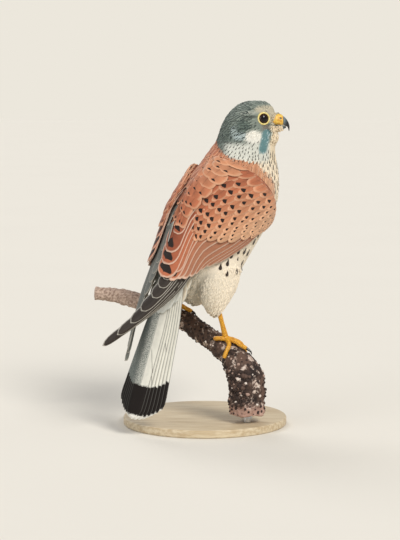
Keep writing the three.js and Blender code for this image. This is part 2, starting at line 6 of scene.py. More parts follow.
import bpy
import numpy as np
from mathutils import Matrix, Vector

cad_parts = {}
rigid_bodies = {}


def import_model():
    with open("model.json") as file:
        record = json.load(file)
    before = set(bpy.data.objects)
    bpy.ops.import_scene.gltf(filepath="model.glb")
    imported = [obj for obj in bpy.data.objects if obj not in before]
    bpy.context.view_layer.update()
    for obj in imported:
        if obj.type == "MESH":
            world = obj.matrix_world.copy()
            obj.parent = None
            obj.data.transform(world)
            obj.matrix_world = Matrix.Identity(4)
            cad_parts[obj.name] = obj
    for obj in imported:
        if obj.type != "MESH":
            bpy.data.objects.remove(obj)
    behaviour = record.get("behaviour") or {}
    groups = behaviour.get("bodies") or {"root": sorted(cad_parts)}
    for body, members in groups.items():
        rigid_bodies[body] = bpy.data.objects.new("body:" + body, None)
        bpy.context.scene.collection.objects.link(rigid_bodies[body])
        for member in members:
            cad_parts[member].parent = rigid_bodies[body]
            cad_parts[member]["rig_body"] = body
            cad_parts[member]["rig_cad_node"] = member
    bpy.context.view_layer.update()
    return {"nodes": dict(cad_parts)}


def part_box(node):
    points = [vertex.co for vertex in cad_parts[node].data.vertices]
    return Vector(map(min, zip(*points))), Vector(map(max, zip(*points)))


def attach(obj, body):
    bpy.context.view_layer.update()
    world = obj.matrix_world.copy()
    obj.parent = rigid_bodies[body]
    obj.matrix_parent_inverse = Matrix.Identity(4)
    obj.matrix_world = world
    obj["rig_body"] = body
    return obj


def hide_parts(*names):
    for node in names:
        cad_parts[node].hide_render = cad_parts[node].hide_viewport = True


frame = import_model()
nodes = frame["nodes"]
mm = 0.001
rng = np.random.default_rng(7)


# Small helpers
def report(stage):
    print("stage:", stage, flush=True)


def srgb(r, g, b):
    c = np.array([r, g, b], float) / 255
    return np.where(c < 0.04045, c / 12.92, ((c + 0.055) / 1.055) ** 2.4)


def smooth(x):
    f = np.clip(x, 0, 1)
    return f * f * (3 - 2 * f)


def mix(a, b, f):
    return a + (b - a) * f


def unit(v):
    return v / np.maximum(np.linalg.norm(v, axis=-1, keepdims=True), 1e-9)


def over(base, tint, share):
    return base + (tint - base) * share[..., None]


def deselect():
    bpy.ops.object.select_all(action="DESELECT")


def activate(obj):
    deselect()
    obj.select_set(True)
    bpy.context.view_layer.objects.active = obj


def applyModifier(obj, kind, **settings):
    activate(obj)
    modifier = obj.modifiers.new(kind.title(), kind)
    for key, value in settings.items():
        setattr(modifier, key, value)
    bpy.ops.object.modifier_apply(modifier=modifier.name)


def placeInMesh(obj):
    activate(obj)
    bpy.ops.object.transform_apply(location=True, rotation=True, scale=True)


def joinCopies(name, nodeNames):
    copies = []
    for nodeName in nodeNames:
        copy = nodes[nodeName].copy()
        copy.data = nodes[nodeName].data.copy()
        copy.parent = None
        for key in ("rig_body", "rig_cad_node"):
            if key in copy:
                del copy[key]
        bpy.context.scene.collection.objects.link(copy)
        copies.append(copy)
    activate(copies[0])
    for copy in copies:
        copy.select_set(True)
    if len(copies) > 1:
        bpy.ops.object.join()
    piece = bpy.context.view_layer.objects.active
    piece.name = name
    piece.data.materials.clear()
    bpy.ops.object.mode_set(mode="EDIT")
    bpy.ops.mesh.select_all(action="SELECT")
    bpy.ops.mesh.remove_doubles(threshold=0.00002)
    bpy.ops.object.mode_set(mode="OBJECT")
    return piece


def smoothCopy(name, nodeNames, voxel, repeats, factor=0.5):
    piece = joinCopies(name, nodeNames)
    applyModifier(piece, "REMESH", mode="VOXEL", voxel_size=voxel * mm)
    applyModifier(piece, "SMOOTH", factor=factor, iterations=repeats)
    activate(piece)
    bpy.ops.object.shade_smooth()
    return piece


def finishPiece(piece, material, slot, *replaced):
    if material:
        piece.data.materials.clear()
        piece.data.materials.append(material)
    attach(piece, "root")
    if replaced:
        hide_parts(*replaced)
    return piece


def meshPlaces(mesh, kind="co"):
    values = np.empty(len(mesh.vertices) * 3, np.float32)
    mesh.vertices.foreach_get(kind, values)
    return values.reshape(-1, 3).astype(float) / (mm if kind == "co" else 1)


def colourField(mesh, name, values):
    field = mesh.attributes.new(name, "FLOAT_COLOR", "POINT")
    full = np.concatenate([values, np.ones((len(values), 1))], 1)
    field.data.foreach_set("color", full.astype(np.float32).ravel())


# Shader helpers
def newMaterial(name):
    material = bpy.data.materials.new(name)
    material.use_nodes = True
    tree = material.node_tree
    return material, tree, tree.nodes["Principled BSDF"]


def connect(tree, value, socket):
    if isinstance(value, bpy.types.NodeSocket):
        tree.links.new(value, socket)
    elif hasattr(value, "__len__") and len(value) == 3 and socket.type == "RGBA":
        socket.default_value = (*value, 1)
    else:
        socket.default_value = value


def calc(tree, operation, *values):
    node = tree.nodes.new("ShaderNodeMath")
    node.operation = operation
    for value, socket in zip(values, node.inputs):
        connect(tree, value, socket)
    return node.outputs[0]


def ramp(tree, value, low, high):
    node = tree.nodes.new("ShaderNodeMapRange")
    node.interpolation_type = "SMOOTHSTEP"
    connect(tree, value, node.inputs["Value"])
    connect(tree, low, node.inputs["From Min"])
    connect(tree, high, node.inputs["From Max"])
    return node.outputs["Result"]


def blendColour(tree, factor, a, b, mode="MIX"):
    node = tree.nodes.new("ShaderNodeMix")
    node.data_type = "RGBA"
    node.blend_type = mode
    connect(tree, factor, node.inputs[0])
    connect(tree, a, node.inputs[6])
    connect(tree, b, node.inputs[7])
    return node.outputs[2]


def shadeWith(tree, tint, pattern, share, low):
    # the tint times a grey that goes from low up by share with the pattern
    return blendColour(tree, 1, tint, calc(tree, "MULTIPLY_ADD", pattern, share, low), "MULTIPLY")


def objectPlace(tree):
    return tree.nodes.new("ShaderNodeTexCoord").outputs["Object"]


def splitVector(tree, vector):
    node = tree.nodes.new("ShaderNodeSeparateXYZ")
    tree.links.new(vector, node.inputs[0])
    return node.outputs


def featherMap(tree):
    # across a feather, 0 to 1, and down it from root to tip
    node = tree.nodes.new("ShaderNodeUVMap")
    node.uv_map = "FeatherUV"
    across, down, _ = splitVector(tree, node.outputs["UV"])
    return across, down


def noise(tree, place, scale, detail=4, roughness=0.55):
    node = tree.nodes.new("ShaderNodeTexNoise")
    node.inputs["Scale"].default_value = scale
    node.inputs["Detail"].default_value = detail
    node.inputs["Roughness"].default_value = roughness
    tree.links.new(place, node.inputs["Vector"])
    return node.outputs["Fac"]


def bump(tree, bsdf, height, strength, distance):
    node = tree.nodes.new("ShaderNodeBump")
    node.inputs["Strength"].default_value = strength
    node.inputs["Distance"].default_value = distance
    tree.links.new(height, node.inputs["Height"])
    tree.links.new(node.outputs["Normal"], bsdf.inputs["Normal"])


def attribute(tree, name, output="Color"):
    node = tree.nodes.new("ShaderNodeAttribute")
    node.attribute_name = name
    return node.outputs[output]


def surface(tree, bsdf, tint, roughness, specular=0.5):
    tree.links.new(tint, bsdf.inputs["Base Color"])
    bsdf.inputs["Roughness"].default_value = roughness
    bsdf.inputs["Specular IOR Level"].default_value = specular


# Plumage: colours come with each feather, and its pattern is drawn along and across its own map
plumageLook = {
    "barbSlant": 0.5, "barbDepth": 0.14, "shaft": 0.06, "ragged": 0.06, "swell": 0.34,
    "streakFrom": (0.25, 0.6), "streakTo": (0.97, 0.8),
}


def plumage(name, tipFrom, fringe=(0.8, 0.93), spot=(0.7, 0.84), roughness=0.75, sheen=0.15, barbs=46,
            shaftTint=0.6, mottling=0.36):
    material, tree, bsdf = newMaterial(name)
    across, down = featherMap(tree)
    side = calc(tree, "ABSOLUTE", calc(tree, "MULTIPLY_ADD", across, 2, -1))
    size, streak, fringeAmount = splitVector(tree, attribute(tree, "marks", "Vector"))
    tint = attribute(tree, "tint")

    # fine barbs that run out from the shaft, and a soft mottle
    place = objectPlace(tree)
    slanted = calc(tree, "MULTIPLY_ADD", side, -plumageLook["barbSlant"], down)
    wobble = noise(tree, place, 420, 2)
    swing = calc(tree, "MULTIPLY", wobble, 7)
    wave = calc(tree, "SINE", calc(tree, "MULTIPLY_ADD", slanted, barbs * 6.283, swing))
    mottle = noise(tree, place, 240, 3)
    shade = calc(tree, "MULTIPLY_ADD", mottle, mottling, 1 - mottling / 2)
    shade = calc(tree, "MULTIPLY_ADD", wave, plumageLook["barbDepth"] / 2, shade)
    base = blendColour(tree, 1, tint, shade, "MULTIPLY")
    shaft = calc(tree, "MULTIPLY", ramp(tree, side, plumageLook["shaft"], 0.01), 0.5)
    base = blendColour(tree, shaft, base, blendColour(tree, 1, tint, (shaftTint,) * 3, "MULTIPLY"))

    # pale edge along the outline, which is rounded beyond tipFrom
    beyond = calc(tree, "MULTIPLY_ADD", down, 1 / (1 - tipFrom), -tipFrom / (1 - tipFrom))
    beyond = calc(tree, "MAXIMUM", beyond, 0)
    round2 = calc(tree, "MULTIPLY", beyond, beyond)
    across2 = calc(tree, "MULTIPLY", calc(tree, "MULTIPLY", side, side), calc(tree, "SUBTRACT", 1, round2))
    ragged = calc(tree, "MULTIPLY_ADD", wobble, plumageLook["ragged"], -plumageLook["ragged"] / 2)
    edge = calc(tree, "ADD", calc(tree, "SQRT", calc(tree, "ADD", across2, round2)), ragged)
    swell = calc(tree, "MULTIPLY_ADD", edge, plumageLook["swell"], 1 - plumageLook["swell"] * 0.6)
    base = blendColour(tree, 1, base, swell, "MULTIPLY")
    pale = calc(tree, "MULTIPLY", ramp(tree, edge, *fringe), fringeAmount)
    base = blendColour(tree, pale, base, attribute(tree, "fringeTint"))

    # dark mark: a triangle that widens towards the tip, or a long streak along the shaft
    rise = calc(tree, "MULTIPLY", ramp(tree, down, *spot), ramp(tree, down, spot[1] + 0.04, spot[1] + 0.01))
    triangle = calc(tree, "MULTIPLY", rise, size)
    reach = calc(tree, "MULTIPLY", ramp(tree, down, *plumageLook["streakFrom"]),
                 ramp(tree, down, *plumageLook["streakTo"]))
    long = calc(tree, "MULTIPLY", reach, size)
    wide = calc(tree, "MULTIPLY_ADD", streak, calc(tree, "SUBTRACT", long, triangle), triangle)
    mark = ramp(tree, calc(tree, "SUBTRACT", wide, calc(tree, "ADD", side, ragged)), -0.02, 0.05)
    base = blendColour(tree, mark, base, attribute(tree, "markTint"))

    surface(tree, bsdf, base, roughness, 0.25)
    bsdf.inputs["Sheen Weight"].default_value = sheen
    bsdf.inputs["Sheen Roughness"].default_value = 0.5
    bump(tree, bsdf, wave, 0.25, 0.0002)
    return material


# Camera, light and stage
view = {"elevation": 6, "target": (-5, 0, 155), "distance": 1780, "sensor": 36, "pixelsHigh": 540}
stage = {"floor": srgb(225, 220, 210), "background": srgb(236, 231, 220), "ambient": 0.42, "wide": 30000}
lamps = {
    "key": {"from": (0.5, -0.8, 0.8), "strength": 2.3, "softness": 24, "tint": (1, 0.98, 0.94)},
    "fill": {"from": (-0.9, -0.8, 0.4), "strength": 0.75, "softness": 40, "tint": (0.94, 0.97, 1)},
    "rim": {"from": (-0.4, 0.8, 0.9), "strength": 0.8, "softness": 30, "tint": (1, 1, 1)},
}


def setCamera():
    camera = bpy.data.objects.new("camera", bpy.data.cameras.new("camera"))
    bpy.context.scene.collection.objects.link(camera)
    slope = math.radians(view["elevation"])
    aim = Vector((0, math.cos(slope), -math.sin(slope)))
    camera.location = (Vector(view["target"]) - aim * view["distance"]) * mm
    camera.rotation_euler = (math.pi / 2 - slope, 0, 0)
    camera.data.sensor_fit = "VERTICAL"
    camera.data.sensor_height = view["sensor"]
    camera.data.lens = view["sensor"] * view["distance"] / view["pixelsHigh"]
    camera.data.clip_end = 100
    bpy.context.scene.camera = camera


def setLights():
    for name, lamp in lamps.items():
        data = bpy.data.lights.new(name, "SUN")
        data.energy = lamp["strength"]
        data.angle = math.radians(lamp["softness"])
        data.color = lamp["tint"]
        light = bpy.data.objects.new(name, data)
        light.location = Vector(lamp["from"]) * 2
        light.rotation_euler = (-Vector(lamp["from"])).to_track_quat("-Z", "Y").to_euler()
        bpy.context.scene.collection.objects.link(light)
    world = bpy.data.worlds.new("paper light")
    world.use_nodes = True
    tree = world.node_tree
    light = tree.nodes["Background"]
    light.inputs["Color"].default_value = (0.97, 0.98, 1, 1)
    light.inputs["Strength"].default_value = stage["ambient"]
    paper = tree.nodes.new("ShaderNodeBackground")
    paper.inputs["Color"].default_value = (*stage["background"], 1)
    chooser = tree.nodes.new("ShaderNodeMixShader")
    tree.links.new(tree.nodes.new("ShaderNodeLightPath").outputs["Is Camera Ray"], chooser.inputs[0])
    tree.links.new(light.outputs[0], chooser.inputs[1])
    tree.links.new(paper.outputs[0], chooser.inputs[2])
    tree.links.new(chooser.outputs[0], tree.nodes["World Output"].inputs["Surface"])
    bpy.context.scene.world = world
    bpy.context.scene.view_settings.view_transform = "Standard"


def setFloor():
    material, tree, bsdf = newMaterial("paleFloor")
    tinted = shadeWith(tree, stage["floor"], noise(tree, objectPlace(tree), 3, 2), 0.03, 0.985)
    surface(tree, bsdf, tinted, 0.95, 0.1)
    bpy.ops.mesh.primitive_plane_add(size=stage["wide"] * mm)
    floor = bpy.context.active_object
    floor.name = "floor"
    floor.data.materials.append(material)


setCamera()
setLights()
setFloor()
report("camera, light and floor")

# The bird's shape, as the solids have it: [height, rear x, front x, half width, turn, narrowing to the face]
bird = {
    "turn": math.radians(38),
    "middleX": 18,
    "rows": np.array([
        [324.2, 51, 51, 0.01, 0, 0.2],
        [323.2, 41.5, 61, 8.5, 0, 0.25],
        [320.6, 34.5, 65.5, 13.5, 0, 0.3],
        [316, 28, 70, 17.5, 0, 0.34],
        [310, 22.5, 71.5, 20, 0, 0.36],
        [303, 18, 72, 21.5, 0, 0.36],
        [294, 14.2, 72.8, 22, 0, 0.34],
        [285, 11.2, 72.3, 23.5, 0, 0.28],
        [276, 5, 71.5, 26.5, 12, 0.18],
        [266, -2, 72.5, 30.5, 24, 0.1],
        [254, -10, 74.5, 34.5, 33, 0.05],
        [240, -18, 75, 37, 38, 0],
        [224, -25, 73.5, 38, 38, 0],
        [207, -30, 68, 37.5, 38, 0],
        [190, -33, 58, 35.5, 38, 0],
        [173, -34, 47.5, 32, 38, 0],
        [157, -33, 38, 27, 38, 0],
        [143, -30, 28.5, 21, 38, 0],
        [131, -24, 16, 13.5, 38, 0],
        [123.5, -15, 2, 6, 38, 0],
        [121, -7, -7, 0.01, 38, 0],
    ]),
}
ahead = np.array([math.cos(bird["turn"]), math.sin(bird["turn"]), 0])
left = np.array([-ahead[1], ahead[0], 0])
faceY = (43 - bird["middleX"]) * math.tan(bird["turn"])


def curveWeights(count, u):
    # Catmull-Rom weights of each of count rows at the places u
    u = np.atleast_1d(np.asarray(u, float))
    i = np.clip(np.floor(u), 0, count - 2).astype(int)
    f = u - i
    parts = [0.5 * f * (-1 + 2 * f - f * f), 1 + 0.5 * f * (-5 * f + 3 * f * f),
             0.5 * f * (1 + 4 * f - 3 * f * f), 0.5 * f * (-f + f * f)]
    weights = np.zeros((len(u), count))
    for k, part in zip((-1, 0, 1, 2), parts):
        np.add.at(weights, (np.arange(len(u)), np.clip(i + k, 0, count - 1)), part)
    return weights


fineRows = curveWeights(len(bird["rows"]), np.linspace(0, len(bird["rows"]) - 1, 500)) @ bird["rows"]
fineRows = fineRows[np.argsort(fineRows[:, 0])]


def sections(z):
    # middle x and y, reach ahead and aside, turn and narrowing of the body at heights z
    rear, front, wide, yaw, taper = (np.interp(z, fineRows[:, 0], fineRows[:, k]) for k in range(1, 6))
    yaw = np.radians(yaw)
    reach, x = (front - rear) / 2, (front + rear) / 2
    far = np.sqrt(np.maximum(reach**2 - (wide * np.sin(yaw)) ** 2, 1e-4)) / np.cos(yaw)
    return x, (x - bird["middleX"]) * math.tan(bird["turn"]), far, np.maximum(wide, 0.01), yaw, taper


def bodyPoints(z, degrees, lift):
    x, y, far, wide, yaw, taper = sections(z)
    angle = np.radians(degrees)
    a = (far + lift) * np.cos(angle)
    b = -(wide + lift) * np.sin(angle) * (1 - taper * np.maximum(0, np.cos(angle)))
    dx, dy = a * np.cos(yaw) - b * np.sin(yaw), a * np.sin(yaw) + b * np.cos(yaw)
    return np.stack([x + dx, y + dy, z + 0 * a], -1)


def onSections(points):
    # ahead and aside of the body's middle, in its own directions
    x, y, _, _, yaw, _ = sections(points[..., 2])
    dx, dy = points[..., 0] - x, points[..., 1] - y
    return dx * np.cos(yaw) + dy * np.sin(yaw), dy * np.cos(yaw) - dx * np.sin(yaw)


def bodyAngle(points):
    # degrees round the body: 0 ahead, 90 at either side and 180 at the back
    far, wide = sections(points[..., 2])[2:4]
    a, b = onSections(points)
    return np.degrees(np.arctan2(np.abs(b) / wide, a / far))


def clearOfBody(points, lift):
    # moves points that lie inside the body, or nearer than lift, out of it
    x, y, far, wide, _, taper = sections(points[..., 2])
    a, b = onSections(points)
    width = 1 - taper * np.maximum(0, a / np.hypot(a, b))
    share = np.minimum(np.hypot(a / (far + lift), b / ((wide + lift) * width)), 1)
    share = np.where(points[..., 2] > bird["rows"][-1, 0], share, 1)
    return np.stack([x + (points[..., 0] - x) / share, y + (points[..., 1] - y) / share, points[..., 2]], -1)


def birdPoint(forward, aside, z):
    return np.array([bird["middleX"], 0, z]) + ahead * forward + left * aside


# Feathers: one grid with a thickness, modelled once for each size, then bent and copied
def featherTemplate(alongSteps, acrossSteps):
    bpy.ops.mesh.primitive_grid_add(x_subdivisions=acrossSteps, y_subdivisions=alongSteps, size=2)
    pattern = bpy.context.active_object
    applyModifier(pattern, "SOLIDIFY", thickness=1, offset=-1)
    corners = np.array([v.co for v in pattern.data.vertices])
    faces = [list(p.vertices) for p in pattern.data.polygons]
    bpy.data.objects.remove(pattern)
    down = (corners[:, 1] + 1) / 2
    down = mix(down, np.sin(down * math.pi / 2), 0.7)  # closer steps round the tip
    return {"across": corners[:, 0], "down": down, "layer": corners[:, 2], "faces": faces}


templates = {"large": featherTemplate(14, 4), "middle": featherTemplate(8, 4), "small": featherTemplate(5, 2)}
# root width and where it is full, where the tip's rounding begins and how blunt it is
outlines = {
    "primary": {"root": 0.6, "full": 0.25, "tip": 0.9, "blunt": 2.1, "narrow": 0.1},
    "tertial": {"root": 0.55, "full": 0.35, "tip": 0.82, "blunt": 2.1, "narrow": 0},
    "streak": {"root": 0.2, "full": 0.75, "tip": 0.7, "blunt": 2, "narrow": 0},
    "covert": {"root": 0.6, "full": 0.35, "tip": 0.6, "blunt": 2.2, "narrow": 0},
    "secondary": {"root": 0.6, "full": 0.3, "tip": 0.86, "blunt": 2.2, "narrow": 0.1},
    "tail": {"root": 0.4, "full": 0.5, "tip": 0.9, "blunt": 2.4, "narrow": 0},
    "plume": {"root": 0.5, "full": 0.4, "tip": 0.45, "blunt": 2, "narrow": 0},
}


def outline(down, kind):
    # half width of a feather, as a share, from its root to its tip
    shape = outlines[kind]
    grown = shape["root"] + (1 - shape["root"]) * smooth(down / shape["full"])
    beyond = np.clip((down - shape["tip"]) / (1 - shape["tip"]), 0, 1)
    slim = 1 - shape["narrow"] * np.clip(down - shape["full"], 0, 1) / (1 - shape["full"])
    return grown * slim * np.sqrt(np.clip(1 - beyond ** shape["blunt"], 0.006, 1))


def featherPiece(name, batches, material, slot, *replaced):
    # batches: a template, points (feather, vertex, 3), a bake place for each feather and its colours
    points, loops, starts, featherUv, bakeUv = [], [], [], [], []
    colours = {key: [] for key in ("tint", "markTint", "fringeTint", "marks")}
    vertexCount, loopCount = 0, 0
    for batch in batches:
        shape = templates[batch["template"]]
        many, each = batch["points"].shape[:2]
        flat = np.concatenate([np.array(f) for f in shape["faces"]])
        sizes = np.array([len(f) for f in shape["faces"]])
        step = np.arange(many)[:, None]
        points.append(batch["points"].reshape(-1, 3))
        loops.append((flat[None] + step * each + vertexCount).ravel())
        firsts = np.concatenate([[0], np.cumsum(sizes)[:-1]])
        starts.append((firsts[None] + step * len(flat) + loopCount).ravel())
        local = np.stack([shape["across"] / 2 + 0.5, shape["down"]], -1)[flat]
        featherUv.append(np.tile(local, (many, 1)))
        bakeUv.append((batch["bake"][:, None] * 0.99 + local[None] * 0.003).reshape(-1, 2))
        for key in colours:
            colours[key].append(np.repeat(batch[key], each, axis=0))
        vertexCount += many * each
        loopCount += many * len(flat)
    mesh = bpy.data.meshes.new(name)
    points, loops, starts = (np.concatenate(part) for part in (points, loops, starts))
    mesh.vertices.add(len(points))
    mesh.vertices.foreach_set("co", (points * mm).astype(np.float32).ravel())
    mesh.loops.add(len(loops))
    mesh.loops.foreach_set("vertex_index", loops.astype(np.int32))
    mesh.polygons.add(len(starts))
    mesh.polygons.foreach_set("loop_start", starts.astype(np.int32))
    for uvName, part in (("FeatherUV", featherUv), ("OFBake", bakeUv)):
        layer = mesh.uv_layers.new(name=uvName)
        layer.data.foreach_set("uv", np.concatenate(part).astype(np.float32).ravel())
    for key, part in colours.items():
        values = np.concatenate(part)
        if key == "marks":
            field = mesh.attributes.new(key, "FLOAT_VECTOR", "POINT")
            field.data.foreach_set("vector", values.astype(np.float32).ravel())
        else:
            colourField(mesh, key, values)
    mesh.update()
    mesh.validate()
    mesh.shade_smooth()
    piece = bpy.data.objects.new(name, mesh)
    bpy.context.scene.collection.objects.link(piece)
    print(name, "faces", len(mesh.polygons), flush=True)
    return finishPiece(piece, material, slot, *replaced)


# Plumage colours
colour = {
    # the nape's darker grey on the next line is painted shade on the back of the head
    "crown": srgb(126, 135, 125), "nape": srgb(102, 113, 104), "ear": srgb(90, 104, 96),
    "napePale": srgb(176, 190, 190), "eyeLine": srgb(66, 72, 66), "brow": srgb(202, 190, 164),
    "browPale": srgb(196, 196, 182), "lore": srgb(204, 192, 168), "underEye": srgb(116, 106, 96),
    "moustache": srgb(96, 132, 134), "cheek": srgb(230, 226, 214), "throat": srgb(232, 214, 184),
    "collar": srgb(212, 212, 200), "headStreak": srgb(62, 72, 68), "collarStreak": srgb(56, 54, 48),
    # the grey for the rear of the thighs on the next line is painted shade
    "breast": srgb(238, 222, 196), "belly": srgb(240, 226, 203), "thighShadeGrey": srgb(150, 146, 132),
    "streak": srgb(52, 40, 32), "chestnut": srgb(174, 102, 70), "chestnutPale": srgb(196, 134, 98),
    "chestnutDeep": srgb(144, 76, 50), "peach": srgb(210, 162, 126), "edge": srgb(226, 182, 148),
    "paleEdge": srgb(226, 194, 172), "spot": srgb(30, 18, 12), "secondary": srgb(166, 110, 82),
    "flightGrey": srgb(112, 114, 108), "flight": srgb(52, 44, 38), "flightEdge": srgb(184, 178, 166),
    "rump": srgb(140, 150, 148), "rumpEdge": srgb(196, 200, 194), "tail": srgb(214, 211, 199),
    # the tail's darker grey on the next line is painted shadow of the wings over the tail
    "tailShadowGrey": srgb(98, 106, 102), "tailEdge": srgb(122, 122, 116), "band": srgb(26, 20, 17),
    "tailTip": srgb(232, 228, 218),
}


# patches that both the colours and the places of feathers follow, in the side view: x and height
cheek = {"centre": (49, 287), "radii": (9, 7)}
moustache = {"start": (61.5, 291), "end": (57.4, 275.5)}


def blob(points, centre, radii, soft=0.35):
    # 1 inside an ellipse in the side view, fading to 0 at its edge
    d = np.hypot((points[..., 0] - centre[0]) / radii[0], (points[..., 2] - centre[1]) / radii[1])
    return 1 - smooth((d - 1 + soft) / (2 * soft))


def stripe(points, start, end, radius, soft=0.3):
    # 1 near the line from start to end in the side view
    a, b = np.array(start, float), np.array(end, float)
    p = points[..., [0, 2]] - a
    f = np.clip(p @ (b - a) / ((b - a) @ (b - a)), 0, 1)
    d = np.linalg.norm(p - f[..., None] * (b - a), axis=-1) / radius
    return 1 - smooth((d - 1 + soft) / (2 * soft))


# where the chestnut of the back meets the collar and breast: height and x on the bird's right side
mantleBorder = [[215, 68], [225, 70.5], [244.6, 69], [250.6, 64], [254, 58], [263, 53], [264.5, 40],
                [267, 26.3], [280.7, 10.9], [287, 9.5]]


def borderAngles():
    degrees = np.linspace(0, 180, 361)
    found = []
    for z, x in mantleBorder:
        across = bodyPoints(np.full(361, float(z)), degrees, 0)[:, 0]
        widest = across.argmax()
        found.append(np.interp(-x, -across[widest:], degrees[widest:]))
    middle = [[z, angle] for (z, x), angle in zip(mantleBorder, found)]
    return [[150, 150], [195, 125]] + middle + [[292, 200]]


border = np.array(borderAngles())


def mantleShare(points, jitter=0.0):
    edge = np.interp(points[..., 2], border[:, 0], border[:, 1])
    return smooth((bodyAngle(points) - edge) / 7 + 0.5 + jitter) * smooth((points[..., 2] - 182) / 8)


# the head's patches: colour, centre and radii in the side view, and how much of the colour they take
headPatches = [
    ("napePale", (30, 292), (4.5, 7), 0.5), ("ear", (38, 298), (7, 6.5), 0.85),
    ("napePale", (36, 288), (6, 3.6), 0.7), ("browPale", (44, 311.4), (8, 1.8), 0.45),
    ("eyeLine", (45, 307.6), (7.5, 1.3), 0.85), ("brow", (61, 314.5), (11, 4), 0.75),
    ("lore", (68.5, 306), (5, 7), 0.9), ("cheek", cheek["centre"], cheek["radii"], 0.95),
]


def headTint(points):
    x, z = points[:, 0], points[:, 2]
    # the head turns darker grey towards the nape: painted shade
    head = over(np.tile(colour["crown"], (len(points), 1)), colour["nape"], smooth((34 - x) / 14))
    for name, centre, radii, share in headPatches:
        head = over(head, colour[name], blob(points, centre, radii) * share)
    head = over(head, colour["collar"], smooth((284 - z) / 6) * smooth((x - 16) / 8))
    head = over(head, colour["throat"], smooth((x - 62.5) / 4) * smooth((300 - z) / 3))
    head = over(head, colour["underEye"], stripe(points, (60, 298), (61.5, 293.5), 3.2) * 0.8)
    return over(head, colour["moustache"], stripe(points, **moustache, radius=4.2))


def paint(points, random):
    # for feathers at points: their colours and marks, which are the dark mark's size, whether it is a
    # streak and not a triangle, and how strong the pale fringe is
    x, z = points[:, 0], points[:, 2]
    n = len(points)
    angle = bodyAngle(points)
    body = over(headTint(points), colour["breast"], smooth((267 - z) / 8))
    body = over(body, colour["belly"], smooth((232 - z) / 30))
    # painted shade: a stippled grey over the rear of the thighs and the vent, which lie in shade
    thigh = smooth((165 - z) / 15) * smooth((angle - 80) / 50)
    body = over(body, colour["thighShadeGrey"], thigh * (0.25 + 0.65 * random))
    mantle = mantleShare(points, (random - 0.5) * 0.25)
    chestnut = over(np.tile(colour["peach"], (n, 1)), colour["chestnutPale"], smooth((angle - 50) / 60))
    chestnut = over(chestnut, colour["chestnut"], smooth((angle - 115) / 45) * 0.8)
    body = over(body, chestnut, mantle)
    rump = smooth((197 - z) / 8) * smooth((angle - 130) / 20) * smooth((z - 152) / 8)
    body = over(body, colour["rump"], rump)
    stripes = stripe(points, **moustache, radius=4.2) * (random > 0.55)
    body = over(body, colour["napePale"], stripes * 0.55)
    tint = body * (1 + mix(0.07, 0.13, smooth((z - 280) / 6))[:, None] * (2 * random[:, None] - 1))

    head = smooth((z - 283) / 4)
    breast = (1 - smooth((z - 266) / 3)) * (1 - mantle) * (1 - rump) * smooth((z - 216) / 10)
    markTint = over(np.tile(colour["streak"], (n, 1)), colour["spot"], mantle)
    markTint = over(markTint, colour["headStreak"], head)
    draw = (random * 7919) % 1
    plain = 1 - np.maximum(blob(points, **cheek), stripe(points, (61.5, 293), (57.4, 275), 5))
    throat = smooth((x - 62) / 4) * smooth((z - 276) / 4)
    size = head * (draw < 0.4) * 0.6 * plain * (1 - throat) * (x < 64)
    size = size + mantle * (draw < 0.6) * 0.3 * (1 - rump)
    streak = 1 - mantle
    fringeTint = over(np.tile(colour["belly"], (n, 1)), colour["edge"], mantle)
    fringeTint = over(fringeTint, tint * 1.4, head)
    fringeTint = over(fringeTint, colour["rumpEdge"], rump)
    fringe = np.clip(mantle * 0.7 + head * 0.5 + breast * 0.2 + rump * 0.6, 0, 1)
    marks = np.stack([size, streak, fringe], -1)
    return {"tint": tint, "markTint": markTint, "fringeTint": fringeTint, "marks": marks}


# Skin over head, neck, torso and thighs, a coat's depth inside the solids. The lids, eyes and cere only
# close its openings, so that no gap shows round them.
skinLook = {"voxel": 1.3, "repeats": 10, "depth": 0.9}


def skinMaterial():
    material, tree, bsdf = newMaterial("plumageUnderCoat")
    mottle = noise(tree, objectPlace(tree), 500, 4)
    surface(tree, bsdf, shadeWith(tree, attribute(tree, "tint"), mottle, 0.5, 0.6), 0.85)
    bump(tree, bsdf, mottle, 0.4, 0.0004)
    return material


def makeSkin():
    flesh = ["head", "neck", "torso", "thigh_right", "thigh_left"]
    filling = ["eye_right", "eye_left", "lid_right", "lid_left", "cere"]
    skin = smoothCopy("skin", flesh + filling, skinLook["voxel"], skinLook["repeats"])
    applyModifier(skin, "DISPLACE", strength=-skinLook["depth"] * mm, mid_level=0)
    places = meshPlaces(skin.data)
    colourField(skin.data, "tint", paint(places, np.full(len(places), 0.5))["tint"])
    return finishPiece(skin, skinMaterial(), "cream_plumage", *flesh)


skin = makeSkin()
report("skin")

